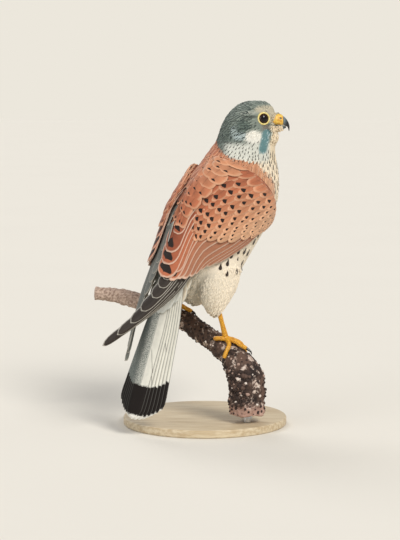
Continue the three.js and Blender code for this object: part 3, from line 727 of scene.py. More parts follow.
# Wings. Rows on the body are [height, degrees round it], rows of the blade are [ahead, left, height].
# Each wing: how far its blade drops about the wrist and leans out, how much lower its upper edge lies on
# the rows on the body, how far its primaries fan out towards the tail, how much shorter the feathers
# over them are, how far it bulges away from the body at bulgeAt (place along it, reach), how broad its
# primaries are, and their colour.
wing = {
    "onBody": [
        [[203, 44], [224, 56], [248, 88], [269, 138]],
        [[190, 74], [211, 92], [239, 122], [258, 166]],
        [[174, 104], [196, 119], [219, 143], [237, 175]],
        [[162, 134], [181, 147], [199, 161], [213, 177]],
    ],
    "blade": [
        [[-72, -31, 138], [-78, -29, 148], [-82, -20, 157], [-84, -7, 163]],
        [[-112, -17, 112], [-113, -17, 117], [-114, -13, 121], [-115, -6, 125]],
        [[-148, 0, 88], [-148.5, -0.5, 90], [-149, -0.5, 92], [-149.5, 0, 94]],
    ],
    "bladeRows": (0.5, 0.8, 1),
    "wrist": (-25, 180),
    "right": {"side": -1, "drop": 0, "out": 0, "low": (0, 0, 0, 0), "fan": 0, "short": 0, "bulge": 0,
              "broad": 1, "flight": "flight"},
    "left": {"side": 1, "drop": 15, "out": 12, "low": (9, 6, 2, 0), "fan": 0.65, "short": 0.055, "bulge": 5,
             "broad": 1.25, "flight": "flightGrey"},
    "bulgeAt": (0.48, 0.13),
    "shrink": 0.086,
    "lift": (1.5, 1.2),
    "steps": (90, 40),
    "evened": 70,
    "front": 0.03,
    "free": 0.55,
    "long": 230,
}


def wingSheet(name):
    # a grid of points from the front edge to the tip, and from the lower edge to the upper one
    side, drop, out, bulge = (wing[name][key] for key in ("side", "drop", "out", "bulge"))
    rows = []
    for low, row in zip(wing[name]["low"], wing["onBody"]):
        lowered = row[:3] + [[row[3][0] - low, row[3][1]]]
        z, around = np.array(lowered, float).T
        rows.append(list(bodyPoints(z, -side * around, wing["lift"][0])))
    for share, row in zip(wing["bladeRows"], wing["blade"]):
        a = math.radians(drop * share)
        shrink = 1 - wing["shrink"] * share * (drop > 0)
        made = []
        for forward, aside, z in row:
            dx, dz = forward - wing["wrist"][0], z - wing["wrist"][1]
            made.append(birdPoint(
                wing["wrist"][0] + (dx * math.cos(a) - dz * math.sin(a)) * shrink,
                side * (-aside + out * share),
                wing["wrist"][1] + (dz * math.cos(a) + dx * math.sin(a)) * shrink,
            ))
        rows.append(made)
    control = np.array(rows)
    stepsS, stepsT = wing["steps"]
    alongWeights = curveWeights(7, np.linspace(0, 6, stepsS + 1))
    acrossWeights = curveWeights(4, np.linspace(0, 3, stepsT + 1))
    points = np.einsum("si,tj,ijk->stk", alongWeights, acrossWeights, control)
    for _ in range(wing["evened"]):
        points[1:-1] = (points[:-2] + 2 * points[1:-1] + points[2:]) / 4
    points = clearOfBody(points, wing["lift"][1])
    along = np.linspace(0, 1, stepsS + 1)[:, None]
    points[..., 0] -= bulge * np.exp(-(((along - wing["bulgeAt"][0]) / wing["bulgeAt"][1]) ** 2))
    normals = unit(np.cross(np.gradient(points, axis=0), np.gradient(points, axis=1))) * side
    wide = np.linalg.norm(points[:, -1] - points[:, 0], axis=-1) + 1
    lower, upper = unit(points[:, 0] - points[:, 3]), unit(points[:, -1] - points[:, -4])
    return {"points": points, "normals": normals, "wide": wide, "lower": lower, "upper": upper}


def onSheet(sheet, s, t, x, h):
    # points x mm across from (s, t), raised h above the sheet, which goes on straight past its edges
    stepsS, stepsT = wing["steps"]
    wide = np.interp(s, np.linspace(0, 1, stepsS + 1), sheet["wide"])
    aim = np.minimum(t + x / wide, np.where(s > wing["free"], 9, 0.995))
    u, v = np.clip(s, 0, 1) * stepsS, np.clip(aim, 0, 1) * stepsT
    i, j = np.minimum(u.astype(int), stepsS - 1), np.minimum(v.astype(int), stepsT - 1)
    fu, fv = (u - i)[..., None], (v - j)[..., None]

    def sample(grid):
        near = grid[i, j] * (1 - fv) + grid[i, j + 1] * fv
        far = grid[i + 1, j] * (1 - fv) + grid[i + 1, j + 1] * fv
        return near * (1 - fu) + far * fu

    def edgeWay(ways):
        return ways[i] * (1 - fu) + ways[i + 1] * fu

    points = sample(sheet["points"])
    points = points + edgeWay(sheet["lower"]) * (np.maximum(-aim, 0) * wide)[..., None]
    points = points + edgeWay(sheet["upper"]) * (np.maximum(aim - 1, 0) * wide)[..., None]
    grid = sheet["points"]
    points = points + (grid[0, j] - grid[1, j]) * (np.maximum(-s, 0) * stepsS)[..., None]
    return points + unit(sample(sheet["normals"])) * h[..., None]


# Long feathers of the wing, from the lowest layer up: how many, half width, places of the roots and tips
# as (along the wing, across it), and the height of the first and last tip over the sheet
tiers = {
    "primaries": {
        "kind": "primary", "material": "flight", "count": 10, "wide": (5.6, 6.6), "high": (-1.6, 2.2),
        "lean": 0.03, "roots": [(0.38, 0.12), (0.42, 0.62)],
        "tips": [(0.955, 0.42), (0.995, 0.5), (0.93, 0.52), (0.87, 0.57), (0.82, 0.64), (0.76, 0.65),
                 (0.72, 0.67), (0.69, 0.69), (0.66, 0.72), (0.63, 0.76)],
    },
    "secondaries": {
        "kind": "secondary", "material": "secondary", "count": 10, "wide": (5.6, 7), "high": (1.2, 3.4),
        "lean": 0.08, "roots": [(0.12, 0.03), (0.2, 0.3), (0.3, 0.7)],
        "tips": [(0.41, 0.0), (0.46, 0.02), (0.51, 0.06), (0.56, 0.11), (0.6, 0.2), (0.635, 0.31),
                 (0.66, 0.42), (0.675, 0.53), (0.68, 0.64), (0.685, 0.73)],
    },
    "tertials": {
        "kind": "tertial", "material": "tertial", "count": 5, "wide": (10, 11), "high": (4.2, 6.4),
        "lean": 0.03, "roots": [(0.34, 0.66), (0.26, 0.88)],
        "tips": [(0.655, 0.64), (0.69, 0.75), (0.655, 0.84), (0.615, 0.89), (0.56, 0.92)],
    },
}
# Rows of coverts that end along lowest, [across the wing, along it], and scapulars over their upper edge
coverts = {
    "rows": 10, "count": 12, "upTo": 0.77, "crowded": 1.25, "wide": 78, "overlap": (2.4, 5),
    "lowest": [[0, 0.1], [0.1, 0.21], [0.2, 0.31], [0.3, 0.39], [0.45, 0.475], [0.6, 0.545], [0.8, 0.6]],
}
scapulars = {"rows": 11, "across": (0.8, 0.87, 0.94, 1.0), "first": 0.03, "step": 0.048, "long": 21,
             "wide": 5.8, "rise": 1.7}
# dark marks of the wing's feathers: size at the lower edge, how much it grows between two places across
# the wing, the share of feathers that have one, and the feathers' edges
wingMarks = {
    "secondaries": {"size": 0, "grows": 0.5, "between": (0.3, 0.6), "chance": 0.8, "edge": "paleEdge",
                    "fringe": 0.82},
    "tertials": {"size": 0.66, "grows": 0, "between": (0, 1), "chance": 1, "edge": "paleEdge",
                 "fringe": 0.82},
    "coverts": {"size": 0.26, "grows": 0.26, "between": (0.25, 0.5), "chance": 0.92, "edge": "edge",
                "fringe": 0.62},
    "scapulars": {"size": 0.3, "grows": 0, "between": (0, 1), "chance": 0.8, "edge": "edge", "fringe": 0.62},
}


def armHeight(s, t):
    # thickness of the arm and folded hand over the sheet
    edge = np.sqrt(np.clip(1 - (2 * t - 1) ** 4, 0, 1))
    return 0.4 + (4.6 - 4 * smooth(s / 0.56)) * edge * smooth(s * 7 + 0.25)


def coverHeight(s, t):
    # top of the coverts, where the layers of longer feathers under them add up
    return armHeight(s, np.clip(t, 0, 1)) + 0.9 + 1.9 * smooth((s - 0.1) / 0.3) * smooth(t * 6 + 0.3)


def sheetFeathers(sheet, roots, tips, wide, low, high, lean, kind, template, camber=0.5, thick=0.28):
    shape = templates[template]
    a, v, layer = (shape[key][None] for key in ("across", "down", "layer"))
    s = mix(roots[:, :1], tips[:, :1], v)
    s = np.where(s < wing["front"], wing["front"] + (s - wing["front"]) / 4, s)  # gathered at the front
    t = mix(roots[:, 1:], tips[:, 1:], v)
    x = a * wide[:, None] * outline(v, kind)
    h = mix(low[:, None], high[:, None], smooth(v * 1.6)) - lean * x + camber * (1 - a * a) + layer * thick
    return onSheet(sheet, s + 0 * a, t + 0 * a, x, h)


def spread(rows, count):
    rows = np.array(rows, float)
    at = np.linspace(0, len(rows) - 1, count)
    return np.stack([np.interp(at, np.arange(len(rows)), rows[:, k]) for k in (0, 1)], -1)


def chestnutTint(t, random):
    levels = [0, 0.22, 0.42, 0.66, 0.9]
    tints = np.array([colour[key] for key in ("peach", "peach", "chestnutPale", "chestnut", "chestnutDeep")])
    tint = np.stack([np.interp(t, levels, tints[:, k]) for k in range(3)], -1)
    return tint * (0.86 + 0.28 * random[:, None])


def wingColours(name, tips, random, flightTone="flight"):
    n = len(random)
    if name == "primaries":
        tint = np.tile(colour[flightTone], (n, 1)) * (0.85 + 0.3 * random[:, None])
        return {"tint": tint, "markTint": tint, "fringeTint": np.tile(colour["flightEdge"], (n, 1)),
                "marks": np.tile([0, 1, 0.85], (n, 1))}
    s, t = tips.T
    look = wingMarks[name]
    low, high = look["between"]
    size = look["size"] + look["grows"] * smooth((t - low) / (high - low))
    shown = ((random * 7919) % 1) < look["chance"]
    tint = chestnutTint(t, random)
    if name == "scapulars":
        tint = over(np.tile(colour["chestnutPale"], (n, 1)), colour["chestnut"], smooth((s - 0.12) / 0.3))
        tint = tint * (0.88 + 0.24 * random[:, None])
    if name == "secondaries":
        tint = over(np.tile(colour["secondary"], (n, 1)), colour["chestnut"], smooth((t - 0.3) / 0.3))
    marks = np.stack([size * shown * (0.8 + 0.4 * random), np.zeros(n), np.full(n, look["fringe"])], -1)
    return {"tint": tint, "markTint": np.tile(colour["spot"], (n, 1)),
            "fringeTint": np.tile(colour[look["edge"]], (n, 1)), "marks": marks}


def addRow(batches, sheet, name, tips, long, wide, rise):
    count = len(tips)
    tips = tips + rng.normal(0, 0.006, tips.shape)
    wide = wide * rng.uniform(0.9, 1.12, count)
    roots = np.stack([tips[:, 0] - long / wing["long"], tips[:, 1] + 0.015], -1)
    points = sheetFeathers(sheet, roots, tips, wide, coverHeight(roots[:, 0], roots[:, 1]) + rise - 1.5,
                           coverHeight(*tips.T) + rise, 0.06, "covert", "middle")
    batches.append({"template": "middle", "points": points, "bake": np.clip(roots, 0, 1),
                    **wingColours(name, tips, rng.random(count))})


def makeWing(name):
    sheet = wingSheet(name)
    for tierName, tier in tiers.items():
        count = tier["count"]
        g = np.linspace(0, 1, count)
        roots, tips = spread(tier["roots"], count), spread(tier["tips"], count)
        tips = tips + rng.normal(0, 0.003, tips.shape)
        wide = mix(*tier["wide"], g)
        if tierName == "primaries":
            wide = wide * wing[name]["broad"]
            roots[:, 1] += wing[name]["fan"] * g / 2
            tips[:, 1] += wing[name]["fan"] * smooth((0.92 - tips[:, 0]) / 0.2)
        else:
            tips[:, 0] -= wing[name]["short"]
        points = sheetFeathers(sheet, roots, tips, wide, armHeight(roots[:, 0], roots[:, 1]) - 0.8,
                               mix(*tier["high"], g), tier["lean"], tier["kind"], "large")
        batch = {"template": "large", "points": points, "bake": roots,
                 **wingColours(tierName, tips, rng.random(count), wing[name]["flight"])}
        featherPiece(tierName + "_" + name, [batch], materials[tier["material"]], "chestnut_plumage")
    batches = []
    for r in range(1, coverts["rows"] + 1):
        count = coverts["count"]
        g = (np.arange(count) + 0.5 * (r % 2)) / (count - 0.5)
        t = coverts["upTo"] * g ** coverts["crowded"]
        lowest = np.interp(t, *np.array(coverts["lowest"]).T)
        gap = lowest * wing["long"] / coverts["rows"]
        wide = 0.75 * coverts["upTo"] * 1.25 * np.maximum(g, 0.12) ** 0.25 / count * coverts["wide"]
        more, least = coverts["overlap"]
        addRow(batches, sheet, "coverts", np.stack([lowest * r / coverts["rows"], t], -1), more * gap + least,
               wide, 0)
    for r in range(scapulars["rows"]):
        t = np.array(scapulars["across"]) + 0.035 * (r % 2)
        s = scapulars["first"] + scapulars["step"] * r + 0.01 * np.arange(len(t))
        wide = np.full(len(t), scapulars["wide"])
        rise = scapulars["rise"] + 2 * smooth((s - 0.25) / 0.2)
        addRow(batches, sheet, "scapulars", np.stack([s, t], -1), scapulars["long"], wide, rise)
    featherPiece("coverts_" + name, batches, materials["chestnut"], "chestnut_plumage")
    makeArm(name, sheet)
    return sheet


def makeArm(name, sheet):
    # the closed core that the coverts grow from
    stepsS, stepsT = 30, 16
    s, t = np.meshgrid(np.linspace(0, 0.5, stepsS + 1), np.linspace(0.03, 0.97, stepsT + 1), indexing="ij")
    top = onSheet(sheet, s, t, 0 * s, armHeight(s, t) - 0.2)
    under = onSheet(sheet, s, t, 0 * s, np.where(s < 0.4, -1.6, -0.2))
    bpy.ops.mesh.primitive_grid_add(x_subdivisions=stepsT, y_subdivisions=stepsS, size=2)
    core = bpy.context.active_object
    core.name = "wing_core_" + name
    applyModifier(core, "SOLIDIFY", thickness=1, offset=-1)
    corners = np.array([v.co for v in core.data.vertices])
    i = np.rint((corners[:, 1] + 1) / 2 * stepsS).astype(int)
    j = np.rint((corners[:, 0] + 1) / 2 * stepsT).astype(int)
    places = np.where((corners[:, 2] > -0.5)[:, None], top[i, j], under[i, j]) * mm
    core.data.vertices.foreach_set("co", places.astype(np.float32).ravel())
    core.data.update()
    activate(core)
    bpy.ops.object.mode_set(mode="EDIT")
    bpy.ops.mesh.select_all(action="SELECT")
    bpy.ops.mesh.normals_make_consistent(inside=False)
    bpy.ops.object.mode_set(mode="OBJECT")
    bpy.ops.object.shade_smooth()
    handShare = smooth((s[i, j] - 0.25) / 0.15)
    tints = over(np.tile(colour["chestnutDeep"], (len(i), 1)), colour["flight"], handShare)
    colourField(core.data, "tint", tints)
    finishPiece(core, materials["underCoat"], "chestnut_plumage", "wing_" + name)


materials = {
    "underCoat": bpy.data.materials["plumageUnderCoat"],
    "flight": plumage("flightFeathers", 0.9, (0.86, 0.93), roughness=0.55, sheen=0.05, barbs=90,
                      shaftTint=0.5),
    "secondary": plumage("secondaryFeathers", 0.86, (0.76, 0.9), (0.86, 0.93), 0.7, barbs=80),
    "tertial": plumage("tertialFeathers", 0.82, (0.87, 0.96), (0.85, 0.92), 0.7, barbs=80),
    "chestnut": plumage("chestnutFeathers", 0.6, (0.62, 1.0), barbs=40),
    "head": plumage("headFeathers", 0.45, (0.72, 0.95), barbs=12),
    "breast": plumage("breastFeathers", 0.45, (0.75, 0.95), roughness=0.85, sheen=0.25, barbs=20,
                      mottling=0.18),
}
sheets = {name: makeWing(name) for name in ("right", "left")}
report("wings")

# Tail. splits are the places down a feather, by its number, where its barbs part.
tail = {"root": (-53, 0, 172), "lean": math.radians(18.8), "twist": math.radians(58), "long": 166, "wide": 55,
        "count": 12, "half": 9, "layer": 0.7, "outerShorter": 12, "band": (0.795, 0.972),
        "splits": {3: 0.42, 5: 0.62, 6: 0.55, 7: 0.68}}


def tailPoints(down, aside, lift):
    way = -ahead * math.sin(tail["lean"]) - np.array([0, 0, math.cos(tail["lean"])])
    flat = np.array([-math.sin(tail["twist"]), math.cos(tail["twist"]), 0])
    across = unit(flat - way * flat.dot(way))
    upper = np.cross(across, way)
    place = birdPoint(*tail["root"]) + way * down[..., None]
    return place + across * aside[..., None] + upper * lift[..., None]


def tailMaterial():
    # grey with a dark band and a white tip, a few dark splits where the barbs part, and painted shadow of the
    # wings over one half of some feathers
    material, tree, bsdf = newMaterial("tailFeathers")
    across, down = featherMap(tree)
    across = calc(tree, "MULTIPLY_ADD", across, 2, -1)
    side = calc(tree, "ABSOLUTE", across)
    splitPlace, wingShadowHalf, _ = splitVector(tree, attribute(tree, "marks", "Vector"))
    place = objectPlace(tree)
    wobble = noise(tree, place, 300, 3)
    slanted = calc(tree, "MULTIPLY_ADD", side, -0.07, down)
    wave = calc(tree, "SINE", calc(tree, "MULTIPLY_ADD", slanted, 900, calc(tree, "MULTIPLY", wobble, 6)))
    shade = calc(tree, "MULTIPLY_ADD", wave, 0.05, 0.86)
    base = shadeWith(tree, attribute(tree, "tint"), noise(tree, place, 160, 4), 0.3, shade)

    # darker edges and shaft, and a stippled dark half that is painted shadow of the wings
    edge = calc(tree, "MULTIPLY", ramp(tree, side, 0.9, 0.98), 0.75)
    base = blendColour(tree, edge, base, colour["tailEdge"])
    shaft = calc(tree, "MULTIPLY", ramp(tree, side, 0.05, 0.01), 0.5)
    base = blendColour(tree, shaft, base, colour["tailEdge"])
    darker = calc(tree, "MULTIPLY", ramp(tree, across, -0.08, 0.2), wingShadowHalf)
    stipple = ramp(tree, noise(tree, place, 1500, 3), 0.3, 0.62)
    base = blendColour(tree, calc(tree, "MULTIPLY", darker, stipple), base, colour["tailShadowGrey"])

    # split, band and tip
    steep = calc(tree, "MULTIPLY_ADD", side, -0.16, down)
    offset = calc(tree, "ABSOLUTE", calc(tree, "SUBTRACT", steep, splitPlace))
    gash = calc(tree, "MULTIPLY", ramp(tree, offset, 0.006, 0.002), ramp(tree, across, -0.1, -0.25))
    base = blendColour(tree, gash, base, colour["band"])
    ragged = calc(tree, "MULTIPLY_ADD", wobble, 0.03, calc(tree, "SUBTRACT", down, 0.015))
    bandStart, bandEnd = tail["band"]
    dark = ramp(tree, ragged, bandStart - 0.004, bandStart + 0.006)
    lines = blendColour(tree, calc(tree, "MULTIPLY", edge, 0.4), colour["band"], colour["tailEdge"])
    base = blendColour(tree, dark, base, lines)
    tip = ramp(tree, ragged, bandEnd - 0.006, bandEnd + 0.006)
    surface(tree, bsdf, blendColour(tree, tip, base, colour["tailTip"]), 0.75, 0.2)
    bump(tree, bsdf, wave, 0.2, 0.0002)
    return material


def makeTail():
    shape = templates["large"]
    a, v, layer = (shape[key][None] for key in ("across", "down", "layer"))
    i = np.arange(tail["count"])
    place = (2 * i / (tail["count"] - 1) - 1)[:, None]
    rank = (2 * np.minimum(i, tail["count"] - 1 - i) + (2 * i >= tail["count"]))[:, None]
    long = tail["long"] - tail["outerShorter"] * place**2
    spreadOut = tail["wide"] / 2 - tail["half"]
    x = a * tail["half"] * outline(v, "tail")
    height = rank * tail["layer"] + 0.5 * (1 - a * a) + layer * 0.35
    points = tailPoints(v * long, place * mix(4, spreadOut, v) + x, height)
    random = rng.random(len(i))
    # painted shadow: the feathers on the side of the tail that the wings shade are tinted darker grey
    wingShadowShare = smooth((place[:, 0] - 0.1) * 3) * 0.7
    tint = over(np.tile(colour["tail"], (len(i), 1)), colour["tailShadowGrey"], wingShadowShare)
    tint = tint * (0.92 + 0.16 * random[:, None])
    # the second mark says which feathers get the painted wing shadow over one vane
    marks = np.array([[tail["splits"].get(k, -1), float(2 * k >= tail["count"]), 0] for k in i])
    blank = np.tile(colour["band"], (len(i), 1))
    bake = np.stack([0 * place[:, 0] + 0.1, place[:, 0] * 0.4 + 0.5], -1)
    batch = {"template": "large", "points": points, "bake": bake, "marks": marks, "tint": tint,
             "markTint": blank, "fringeTint": blank}
    featherPiece("tail_feathers", [batch], tailMaterial(), "grey_plumage", "tail")


tailCoverts = {"rows": 4, "count": 7, "first": -14, "step": 13, "long": 34, "uneven": 5, "outerShorter": 9,
               "wide": 6.5, "spread": 12, "upper": 9.5, "under": -3.5}


def makeTailCoverts():
    shape = templates["middle"]
    a, v, layer = (shape[key][None] for key in ("across", "down", "layer"))
    batches = []
    for side, height in ((1, tailCoverts["upper"]), (-1, tailCoverts["under"])):
        for r in range(tailCoverts["rows"]):
            count = tailCoverts["count"]
            place = np.linspace(-1, 1, count)[:, None] + (0.12 if r % 2 else -0.04)
            x = a * tailCoverts["wide"] * outline(v, "plume")
            uneven = rng.uniform(-tailCoverts["uneven"], tailCoverts["uneven"], (count, 1))
            long = tailCoverts["long"] + uneven - tailCoverts["outerShorter"] * place**2
            down = tailCoverts["first"] + tailCoverts["step"] * r + long * v
            domed = 1.2 - 0.5 * r - 3 * place**2 + 1.4 * v + 0.4 * (1 - a * a)
            raised = height + side * domed + layer * 0.3
            points = tailPoints(down, place * tailCoverts["spread"] + x, raised)
            random = rng.random(count)
            tone = colour["rump"] if side > 0 else colour["belly"]
            share = np.full(count, r / (tailCoverts["rows"] - 1) if side > 0 else 0.0)
            tint = over(np.tile(tone, (count, 1)), colour["tail"], share) * (0.9 + 0.2 * random[:, None])
            bake = np.stack([np.full(count, 0.2), place[:, 0] * 0.3 + 0.5], -1)
            batches.append({"template": "middle", "points": points, "bake": bake, "tint": tint,
                            "markTint": tint, "fringeTint": np.tile(colour["rumpEdge"], (count, 1)),
                            "marks": np.tile([0, 1, 0.6], (count, 1))})
    featherPiece("tail_coverts", batches, materials["breast"], "grey_plumage")


makeTail()
makeTailCoverts()
report("tail")


# Small feathers over the skin
def scatter(surface, keep, spacing, tries, seed):
    # seeded places on a surface, none nearer to another than spacing(point)
    draw = np.random.default_rng(seed)
    mesh = surface.data
    mesh.calc_loop_triangles()
    corners = np.empty(len(mesh.loop_triangles) * 3, np.int32)
    mesh.loop_triangles.foreach_get("vertices", corners)
    corners = corners.reshape(-1, 3)
    places, facing = meshPlaces(mesh), meshPlaces(mesh, "normal")
    p = places[corners]
    area = np.linalg.norm(np.cross(p[:, 1] - p[:, 0], p[:, 2] - p[:, 0]), axis=1)
    area = area * keep(p.mean(1))
    pick = draw.choice(len(area), tries, p=area / area.sum())
    r = np.sqrt(draw.random(tries))[:, None]
    q = draw.random(tries)[:, None]
    weights = np.concatenate([1 - r, r * (1 - q), r * q], 1)[:, :, None]
    points = (p[pick] * weights).sum(1)
    normals = unit((facing[corners][pick] * weights).sum(1))
    gaps = spacing(points)
    cell = gaps.max()
    cells, chosen = {}, []
    for k, (point, gapHere) in enumerate(zip(points, gaps)):
        key = tuple((point // cell).astype(int))
        near = [m for dx in (-1, 0, 1) for dy in (-1, 0, 1) for dz in (-1, 0, 1)
                for m in cells.get((key[0] + dx, key[1] + dy, key[2] + dz), ())]
        if near and (np.sum((points[near] - point) ** 2, 1) < gapHere**2).any():
            continue
        cells.setdefault(key, []).append(k)
        chosen.append(k)
    return points[chosen], normals[chosen], gaps[chosen]


billRoot = np.array([71, faceY, 303])


def lie(points, normals):
    # the way feathers lie: back from the bill on the head, then down and back along the body
    z = points[:, 2:]
    fromBill = unit(points - billRoot)
    low = smooth((165 - z) / 30)
    along = -ahead * (0.42 + 0.2 * low) - np.array([0, 0, 1.0])
    way = unit(mix(unit(along), fromBill, smooth((z - 268) / 26)))
    return unit(way - normals * (way * normals).sum(1, keepdims=True))


def coat(name, scattered, longer, wider, material, slot, template="small", kind="plume", rise=0.12,
         lift=None, seed=3, tinted=paint):
    # a feather at each scattered place; longer and wider are its length and half width for each gap
    points, normals, gaps = scattered
    draw = np.random.default_rng(seed)
    n = len(points)
    way = lie(points, normals)
    across = np.cross(way, normals)
    way = unit(way + across * draw.normal(0, 0.1, n)[:, None])
    across = np.cross(way, normals)
    shape = templates[template]
    a, v, layer = (shape[key][None, :, None] for key in ("across", "down", "layer"))
    long = (gaps * longer * (0.85 + 0.3 * draw.random(n)))[:, None, None]
    wide = (gaps * wider)[:, None, None]
    raised = (lift(points) if lift else np.zeros(n))[:, None, None]
    x = a * wide * outline(v, kind)
    height = raised - 0.35 + rise * long * v * (1 - 0.55 * v) + 0.18 * wide * (1 - a * a) * v + layer * 0.14
    place = points[:, None] + way[:, None] * long * v + across[:, None] * x + normals[:, None] * height
    low, high = points.min(0), points.max(0)
    bake = np.stack([(np.arctan2(points[:, 1] - faceY, points[:, 0] - 30) / (2 * np.pi)) % 1,
                     (points[:, 2] - low[2]) / (high[2] - low[2])], -1)
    colours = tinted(points + way * long[:, 0] * 0.6, draw.random(n))
    featherPiece(name, [{"template": template, "points": place, "bake": bake, **colours}], material, slot)


eyeAt = {"x": 57.2, "out": 9.5, "z": 305.6, "radius": 6.3, "bareRing": 8.1}
eyeCentres = [np.array([eyeAt["x"], faceY + side * eyeAt["out"], eyeAt["z"]]) for side in (-1, 1)]
# points of both wings, well inside their edges, and how near to them no small feather grows
covered = np.concatenate([sheet["points"][2:48, 4:37].reshape(-1, 3)[::7] for sheet in sheets.values()])
coveredReach = 4.5


def even(value):
    return lambda points: np.full(len(points), float(value))


def awayFromEyes(points):
    distances = [np.linalg.norm(points - centre, axis=1) for centre in eyeCentres]
    return np.min(distances, axis=0) > eyeAt["bareRing"]


def underWing(points):
    gap = np.full(len(points), 1e9)
    for chunk in np.array_split(covered, 40):
        gap = np.minimum(gap, np.linalg.norm(points[:, None] - chunk[None], axis=2).min(1))
    return gap < coveredReach


def openSkin(points, onMantle=False):
    # skin that no wing covers, on the mantle or off it
    return ((mantleShare(points) >= 0.5) == onMantle) & ~underWing(points)


def behindCere(points):
    # the lores cover the rear of the cere up to a slanting line
    return points[:, 0] < np.interp(points[:, 2], [298.6, 299.8, 311.1], [90, 67.5, 73])


def backLift(points):
    # the mantle lies over the inner edges of both wings
    height = np.interp(points[:, 2], [198, 212, 225, 245, 262, 270], [0, 5, 5.5, 4, 1, 0])
    return height * smooth((bodyAngle(points) - 125) / 25)


def throatLift(points):
    # full, loose feathers under the bill
    x, z = points[:, 0], points[:, 2]
    return 2.6 * smooth((x - 63) / 6) * smooth((z - 281) / 7) * smooth((304 - z) / 4)


def headSpacing(points):
    return mix(1.0, 2.1, smooth(np.linalg.norm(points - billRoot, axis=1) / 45))


headSkin = scatter(skin, lambda p: (p[:, 2] > 280) & awayFromEyes(p) & behindCere(p), headSpacing, 40000, 11)
coat("coat_head", headSkin, 3.1, 0.62, materials["head"], "slate_plumage", rise=0.13, lift=throatLift)
neckSkin = scatter(skin, lambda p: (p[:, 2] > 212) & (p[:, 2] <= 281) & openSkin(p),
                   lambda p: mix(2.9, 1.9, smooth((p[:, 2] - 252) / 30)), 26000, 12)
coat("coat_breast", neckSkin, 3.1, 0.66, materials["breast"], "cream_plumage")
backSkin = scatter(skin, lambda p: (p[:, 2] > 196) & openSkin(p, True),
                   lambda p: mix(6.2, 3.6, smooth((p[:, 2] - 245) / 35)), 20000, 14)
coat("coat_mantle", backSkin, 3.3, 0.8, materials["chestnut"], "chestnut_plumage", "middle", "covert",
     lift=backLift)
trunkSkin = scatter(skin, lambda p: (p[:, 2] <= 213) & openSkin(p), even(2.1), 42000, 13)
coat("coat_body", trunkSkin, 3.2, 0.72, materials["breast"], "cream_plumage", rise=0.08)

# Dark streaks that lie on top: where, how far apart, how long and wide for that gap, and their colour
streaks = {
    "nape": {"gap": 2.5, "long": 1.3, "wide": 0.15, "tone": "headStreak"},
    "collar": {"gap": 3.3, "long": 1.1, "wide": 0.12, "tone": "collarStreak"},
    "breast": {"gap": 5.6, "long": 0.95, "wide": 0.12, "tone": "streak"},
    "flank": {"gap": 8.5, "long": 0.75, "wide": 0.21, "tone": "streak"},
}


def streakZone(name, points):
    x, z, angle = points[:, 0], points[:, 2], bodyAngle(points)
    plain = (mantleShare(points) < 0.2) & awayFromEyes(points)
    if name == "nape":
        return plain & (z > 284) & (x < 47) & (blob(points, **cheek) < 0.1)
    if name == "collar":
        beside = (x < 58) | ((z < 275) & (x < 69))
        return plain & (z > 264) & (z <= 284) & beside & (stripe(points, **moustache, radius=4.6) < 0.1)
    if name == "breast":
        return plain & (z > 208) & (z <= 264) & (angle < 80) & ~underWing(points)
    return plain & (z > 158) & (z <= 208) & (angle > 52) & (angle < 104) & ~underWing(points)


for streakName, spec in streaks.items():
    def darkTint(points, random, tone=colour[spec["tone"]]):
        tint = tone * (0.85 + 0.3 * random[:, None])
        return {"tint": tint, "markTint": tint, "fringeTint": tint, "marks": np.zeros((len(points), 3))}

    placed = scatter(skin, lambda p: streakZone(streakName, p), even(spec["gap"]), 9000, 41)
    coat("streaks_" + streakName, placed, spec["long"], spec["wide"], materials["breast"], "slate_plumage",
         kind="streak", lift=lambda p: 0.75 + throatLift(p), seed=5, tinted=darkTint)
report("small feathers")


# Eyes and lids
def eyeMaterial(side):
    material, tree, bsdf = newMaterial("eye" + ("Right" if side < 0 else "Left"))
    offset = tree.nodes.new("ShaderNodeVectorMath")
    offset.operation = "SUBTRACT"
    tree.links.new(objectPlace(tree), offset.inputs[0])
    offset.inputs[1].default_value = eyeCentres[0 if side < 0 else 1] * mm
    dot = tree.nodes.new("ShaderNodeVectorMath")
    dot.operation = "DOT_PRODUCT"
    tree.links.new(offset.outputs[0], dot.inputs[0])
    dot.inputs[1].default_value = unit(np.array([0.28, side * 0.95, 0.05])) / (eyeAt["radius"] * mm)
    outsidePupil = ramp(tree, dot.outputs["Value"], 0.86, 0.845)
    tinted = blendColour(tree, outsidePupil, (0.004, 0.003, 0.003), (0.03, 0.012, 0.006))
    surface(tree, bsdf, tinted, 0.08, 0.3)
    return material


def bareSkin(name, tint, deep, scale, depth):
    material, tree, bsdf = newMaterial(name)
    place = objectPlace(tree)
    cells = tree.nodes.new("ShaderNodeTexVoronoi")
    cells.inputs["Scale"].default_value = scale
    tree.links.new(place, cells.inputs["Vector"])
    mottle = noise(tree, place, scale * 0.6, 4)
    share = calc(tree, "MULTIPLY", ramp(tree, cells.outputs["Distance"], 0.25, 0.75), 0.7)
    surface(tree, bsdf, shadeWith(tree, blendColour(tree, share, tint, deep), mottle, 0.4, 0.8), 0.42)
    bsdf.inputs["Subsurface Weight"].default_value = 0.08
    bsdf.inputs["Subsurface Radius"].default_value = (0.001, 0.0005, 0.0002)
    bump(tree, bsdf, calc(tree, "SUBTRACT", 1, cells.outputs["Distance"]), depth, 0.0004)
    return material


yellow = {"skin": srgb(226, 168, 44), "deep": srgb(170, 104, 24), "cere": srgb(230, 192, 84),
          "cereDeep": srgb(200, 134, 50), "lid": srgb(236, 222, 150), "lidDeep": srgb(214, 186, 96)}
materials["legs"] = bareSkin("scalyYellowLegs", yellow["skin"], yellow["deep"], 900, 0.6)
materials["cere"] = bareSkin("waxyYellowCere", yellow["cere"], yellow["cereDeep"], 500, 0.15)
materials["lid"] = bareSkin("paleYellowLid", yellow["lid"], yellow["lidDeep"], 700, 0.15)


